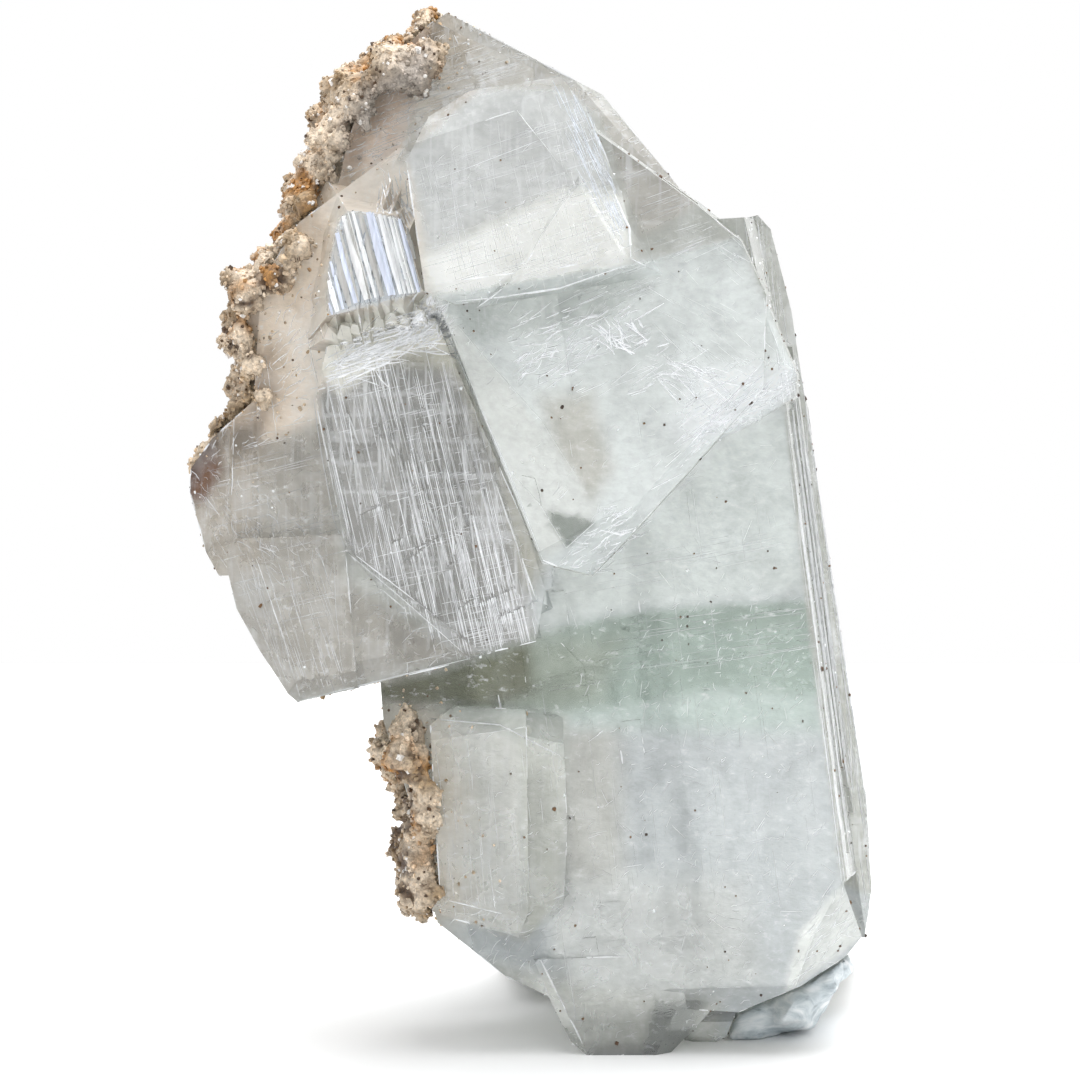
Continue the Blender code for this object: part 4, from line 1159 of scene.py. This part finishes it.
# Fractures: short curved white strokes, fracture traces that are partly painted glints where the fractures
# catch the light; each set with its outline, slope, how many, their length and width in mm, how much they
# curve and how opaque they are.
fractureSets = [
    ([(505, 345), (560, 318), (640, 322), (640, 345), (560, 380), (515, 385)],
     30.0, 110, (0.5, 2.6), (0.06, 0.26), 0.8, (0.4, 1.0)),
    ([(575, 318), (640, 320), (615, 348), (590, 345)], -55.0, 22, (0.6, 2.4), (0.14, 0.40), 0.5, (0.7, 1.0)),
    ([(408, 303), (440, 300), (442, 350), (400, 355)], 50.0, 70, (0.6, 3.2), (0.08, 0.34), 1.1, (0.6, 1.0)),
    ([(322, 372), (345, 340), (420, 312), (430, 345), (340, 395)],
     20.0, 110, (0.8, 4.0), (0.06, 0.26), 0.5, (0.4, 1.0)),
    ([(640, 350), (700, 358), (720, 388), (650, 385)], -30.0, 50, (0.5, 3.0), (0.05, 0.20), 0.4, (0.4, 0.95)),
    ([(690, 445), (745, 425), (790, 395), (790, 378), (700, 415)],
     30.0, 90, (0.5, 3.0), (0.06, 0.24), 0.5, (0.4, 0.95)),
    ([(600, 505), (640, 528), (600, 574), (556, 566)], 30.0, 90, (0.4, 2.2), (0.06, 0.24), 0.8, (0.4, 1.0)),
    ([(235, 290), (320, 290), (300, 420), (190, 500), (215, 440)],
     40.0, 130, (0.3, 1.8), (0.05, 0.16), 1.0, (0.3, 0.9)),
    ([(190, 470), (240, 450), (330, 560), (230, 590)], -60.0, 120, (0.3, 2.0), (0.05, 0.14), 1.0, (0.2, 0.7)),
    ([(378, 168), (410, 168), (414, 218), (380, 218)], -72.0, 36, (0.8, 3.4), (0.08, 0.26), 0.2, (0.5, 1.0)),
    ([(640, 620), (810, 600), (820, 700), (640, 715)], 50.0, 60, (0.2, 0.9), (0.05, 0.14), 0.8, (0.4, 0.9)),
    ([(560, 600), (830, 560), (840, 880), (600, 960)], 50.0, 260, (0.2, 0.9), (0.04, 0.11), 1.2, (0.4, 0.95)),
    ([(430, 720), (560, 760), (560, 1040), (460, 960)], 30.0, 160, (0.2, 0.9), (0.04, 0.11), 1.2, (0.3, 0.9)),
    ([(560, 900), (760, 900), (740, 1040), (560, 1050)],
     20.0, 140, (0.2, 1.0), (0.04, 0.12), 1.2, (0.3, 0.9)),
    ([(438, 310), (737, 245), (790, 390), (590, 560)], 40.0, 150, (0.2, 1.4), (0.04, 0.11), 0.8, (0.3, 0.8)),
    ([(400, 170), (560, 100), (625, 265), (455, 300)], 30.0, 110, (0.2, 1.4), (0.04, 0.11), 0.8, (0.3, 0.8)),
    ([(345, 565), (460, 660), (350, 690)], 30.0, 50, (0.2, 1.6), (0.04, 0.12), 0.9, (0.3, 0.8)),
    ([(400, 370), (500, 470), (540, 600), (400, 560)], 10.0, 90, (0.2, 1.6), (0.04, 0.12), 0.6, (0.3, 0.9)),
    ([(425, 905), (540, 890), (560, 1000), (470, 990)], 40.0, 60, (0.3, 1.8), (0.05, 0.14), 0.8, (0.3, 0.8)),
    ([(840, 880), (862, 935), (785, 990), (800, 930)], 45.0, 60, (0.5, 3.0), (0.05, 0.18), 0.4, (0.3, 0.9)),
    ([(600, 100), (690, 205), (560, 90), (440, 15)], 30.0, 60, (0.3, 1.6), (0.05, 0.14), 0.6, (0.3, 0.9)),
    ([(340, 100), (440, 30), (470, 90), (350, 190)], 40.0, 150, (0.15, 0.9), (0.06, 0.18), 1.0, (0.3, 0.9)),
]


def fracturesAndGlints(tree):
    shapes = []
    for outline, slope, count, length, width, curve, opaque in fractureSets:
        for _ in range(count):
            px, py = inOutline(outline)
            angle = math.radians(slope + markSpots.gauss(0.0, 18.0))
            bend = markSpots.gauss(0.0, curve)
            reach = markSpots.uniform(*length) / sight["pixel"]
            steps = max(2, int(reach / 4.0))
            pixels = [(px, py)]
            for number in range(steps):
                way = angle + bend * (number / steps - 0.5)
                x, y = pixels[-1]
                pixels.append((x + math.cos(way) * reach / steps, y - math.sin(way) * reach / steps))
            path, normals = tracedPath(tree, pixels, 20.0, 1.2)
            if len(path) < 2:
                continue
            wide = markSpots.uniform(*width) * mm
            shade = markColour(frostAndGlint, markSpots.uniform(*opaque))
            shapes.append(threadShape(path, normals, wide, wide * marks["strokeRise"], shade))
    return shapes


def markMaterial(name, roughness):
    material, tree, shader, _ = newMaterial(name)
    shade = attributeNode(tree, "shade")
    tone, fine = mottled(tree, shade.outputs["Color"], objectPlace(tree), 2.2, 2.0, 0.5, 0.3, 0.7, 0.88, 1.05)
    tree.links.new(tone, shader.inputs["Base Color"])
    tree.links.new(shade.outputs["Alpha"], shader.inputs["Alpha"])
    rough = scaleRange(tree, fine, 0.3, 0.7, roughness * 0.7, roughness * 1.3)
    tree.links.new(rough, shader.inputs["Roughness"])
    return material


def finishMarks(name, shapes, material):
    piece = joinShapes(name, shapes)
    piece.data.materials.append(material)
    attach(piece, "root")
    print(name, len(shapes), "marks,", len(piece.data.polygons), "faces")


frostAndGlintMaterial = markMaterial("healed crystal and painted glints", 0.35)
dustMaterial = markMaterial("dust", 0.8)
finishMarks("growth_lines", frontLines(crystalTree), frostAndGlintMaterial)
finishMarks("scratches", otherLines(crystalTree), frostAndGlintMaterial)
finishMarks("bruised_and_highlit_edges", bruisedAndHighlitEdges(crystalEdges), frostAndGlintMaterial)
finishMarks("fracture_strokes_and_glints", fracturesAndGlints(crystalTree), frostAndGlintMaterial)
finishMarks("dust_specks", dustSpecks(grainTemplates()), dustMaterial)


# The silvery patch: painted reflection, wide bright stripes of painted shine beside dull grey ones of painted
# shade

patch = {
    "outline": [(331, 318), (330, 272), (338, 240), (341, 222), (352, 214), (373, 215), (402, 222),
                (410, 233),
                (418, 267), (422, 294), (387, 298), (362, 303)],
    "slope": -75.0,
    # white and bluish stripes are painted reflection, the greys painted shade
    "colours": ((1.0, 1.0, 1.0), (0.80, 0.85, 1.0), (0.40, 0.43, 0.50), (0.97, 0.98, 1.0),
                (0.55, 0.54, 0.52)),
    "seed": 3,
}


def makeReflectionPatch(surface):
    spots = random.Random(patch["seed"])
    outline = patch["outline"]
    shapes = []
    angle = math.radians(patch["slope"])
    wayX, wayY = math.cos(angle), -math.sin(angle)
    across = [x * wayY - y * wayX for x, y in outline]
    offset = min(across)
    while offset < max(across):
        wide = spots.choice((2.0, 3.0, 4.5, 7.0)) * spots.uniform(0.8, 1.2)
        offset += wide
        hits = []
        for (x0, y0), (x1, y1) in zip(outline, outline[1:] + outline[:1]):
            a, b = x0 * wayY - y0 * wayX - offset, x1 * wayY - y1 * wayX - offset
            if a * b < 0.0:
                share = a / (a - b)
                hits.append((x0 + (x1 - x0) * share, y0 + (y1 - y0) * share))
        if len(hits) < 2:
            continue
        hits.sort(key=lambda spot: spot[1])
        path, normals = tracedPath(surface, [hits[0], hits[-1]], 6.0, 3.0)
        if len(path) < 3:
            continue
        # The stripe runs straight, as high as the ribs that it crosses.
        start, end = path[0].copy(), path[-1].copy()
        middle = start.lerp(end, 0.5)
        straight = [start.lerp(end, i / (len(path) - 1)) for i in range(len(path))]
        proud = max((level - place).dot(sightLine) for level, place in zip(straight, path))
        path = [place - sightLine * (proud + 0.02 * mm) for place in (start, middle, end)]
        normals = [sum(normals, Vector()).normalized()] * 3
        bright = spots.choice(patch["colours"])
        broad = wide * sight["pixel"] * mm * 1.25
        shapes.append(threadShape(path, normals, broad, 0.09 * mm, np.array([*bright, 1.0])))
    piece = joinShapes("painted_reflection_stripes", shapes)
    material, tree, shader, _ = newMaterial("striations with painted reflection")
    shade = attributeNode(tree, "shade")
    place = objectPlace(tree, (0, -15, 0), (1.0, 1.0, 0.08))
    tone, _ = mottled(tree, shade.outputs["Color"], place, 3.0, 2.0, 0.5, 0.35, 0.65, 0.86, 1.06)
    tree.links.new(tone, shader.inputs["Base Color"])
    tree.links.new(shade.outputs["Alpha"], shader.inputs["Alpha"])
    shader.inputs["Roughness"].default_value = 0.22
    shader.inputs["Coat Weight"].default_value = 0.4
    piece.data.materials.append(material)
    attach(piece, "root")


makeReflectionPatch(crystalTree)
print("marks are on the crystals")


# The foot: a lump of marbled matrix

def makeFoot():
    piece = lumpyCopy("matrix_foot", "matrix_foot_lumpy", 0.35, 0.35, ((0.5, 0.8), (1.4, 0.4)))
    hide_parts("matrix_foot")
    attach(piece, "root")
    material, tree, shader, _ = newMaterial("matrix")
    place = objectPlace(tree, (0, 25, 0), (1.0, 1.0, 1.8))
    marble = noiseNode(tree, place, 0.28, 5.0, 0.6, 1.1)
    ramp = tree.nodes.new("ShaderNodeValToRGB")
    stops = (((0.24, 0.28, 0.30), 0.32), ((0.48, 0.54, 0.57), 0.43), ((0.66, 0.71, 0.73), 0.54),
             ((0.86, 0.88, 0.89), 0.66))
    while len(ramp.color_ramp.elements) < len(stops):
        ramp.color_ramp.elements.new(0.5)
    for stop, (colour, position) in zip(ramp.color_ramp.elements, stops):
        stop.position = position
        stop.color = (*colour, 1.0)
    tree.links.new(marble, ramp.inputs[0])
    tree.links.new(ramp.outputs[0], shader.inputs["Base Color"])
    shader.inputs["Roughness"].default_value = 0.5
    fine = noiseNode(tree, place, 2.6, 3.0, 0.6)
    tree.links.new(bumpNode(tree, fine, 0.5, 0.1), shader.inputs["Normal"])
    piece.data.materials.clear()
    piece.data.materials.append(material)


makeFoot()
print("foot is made")
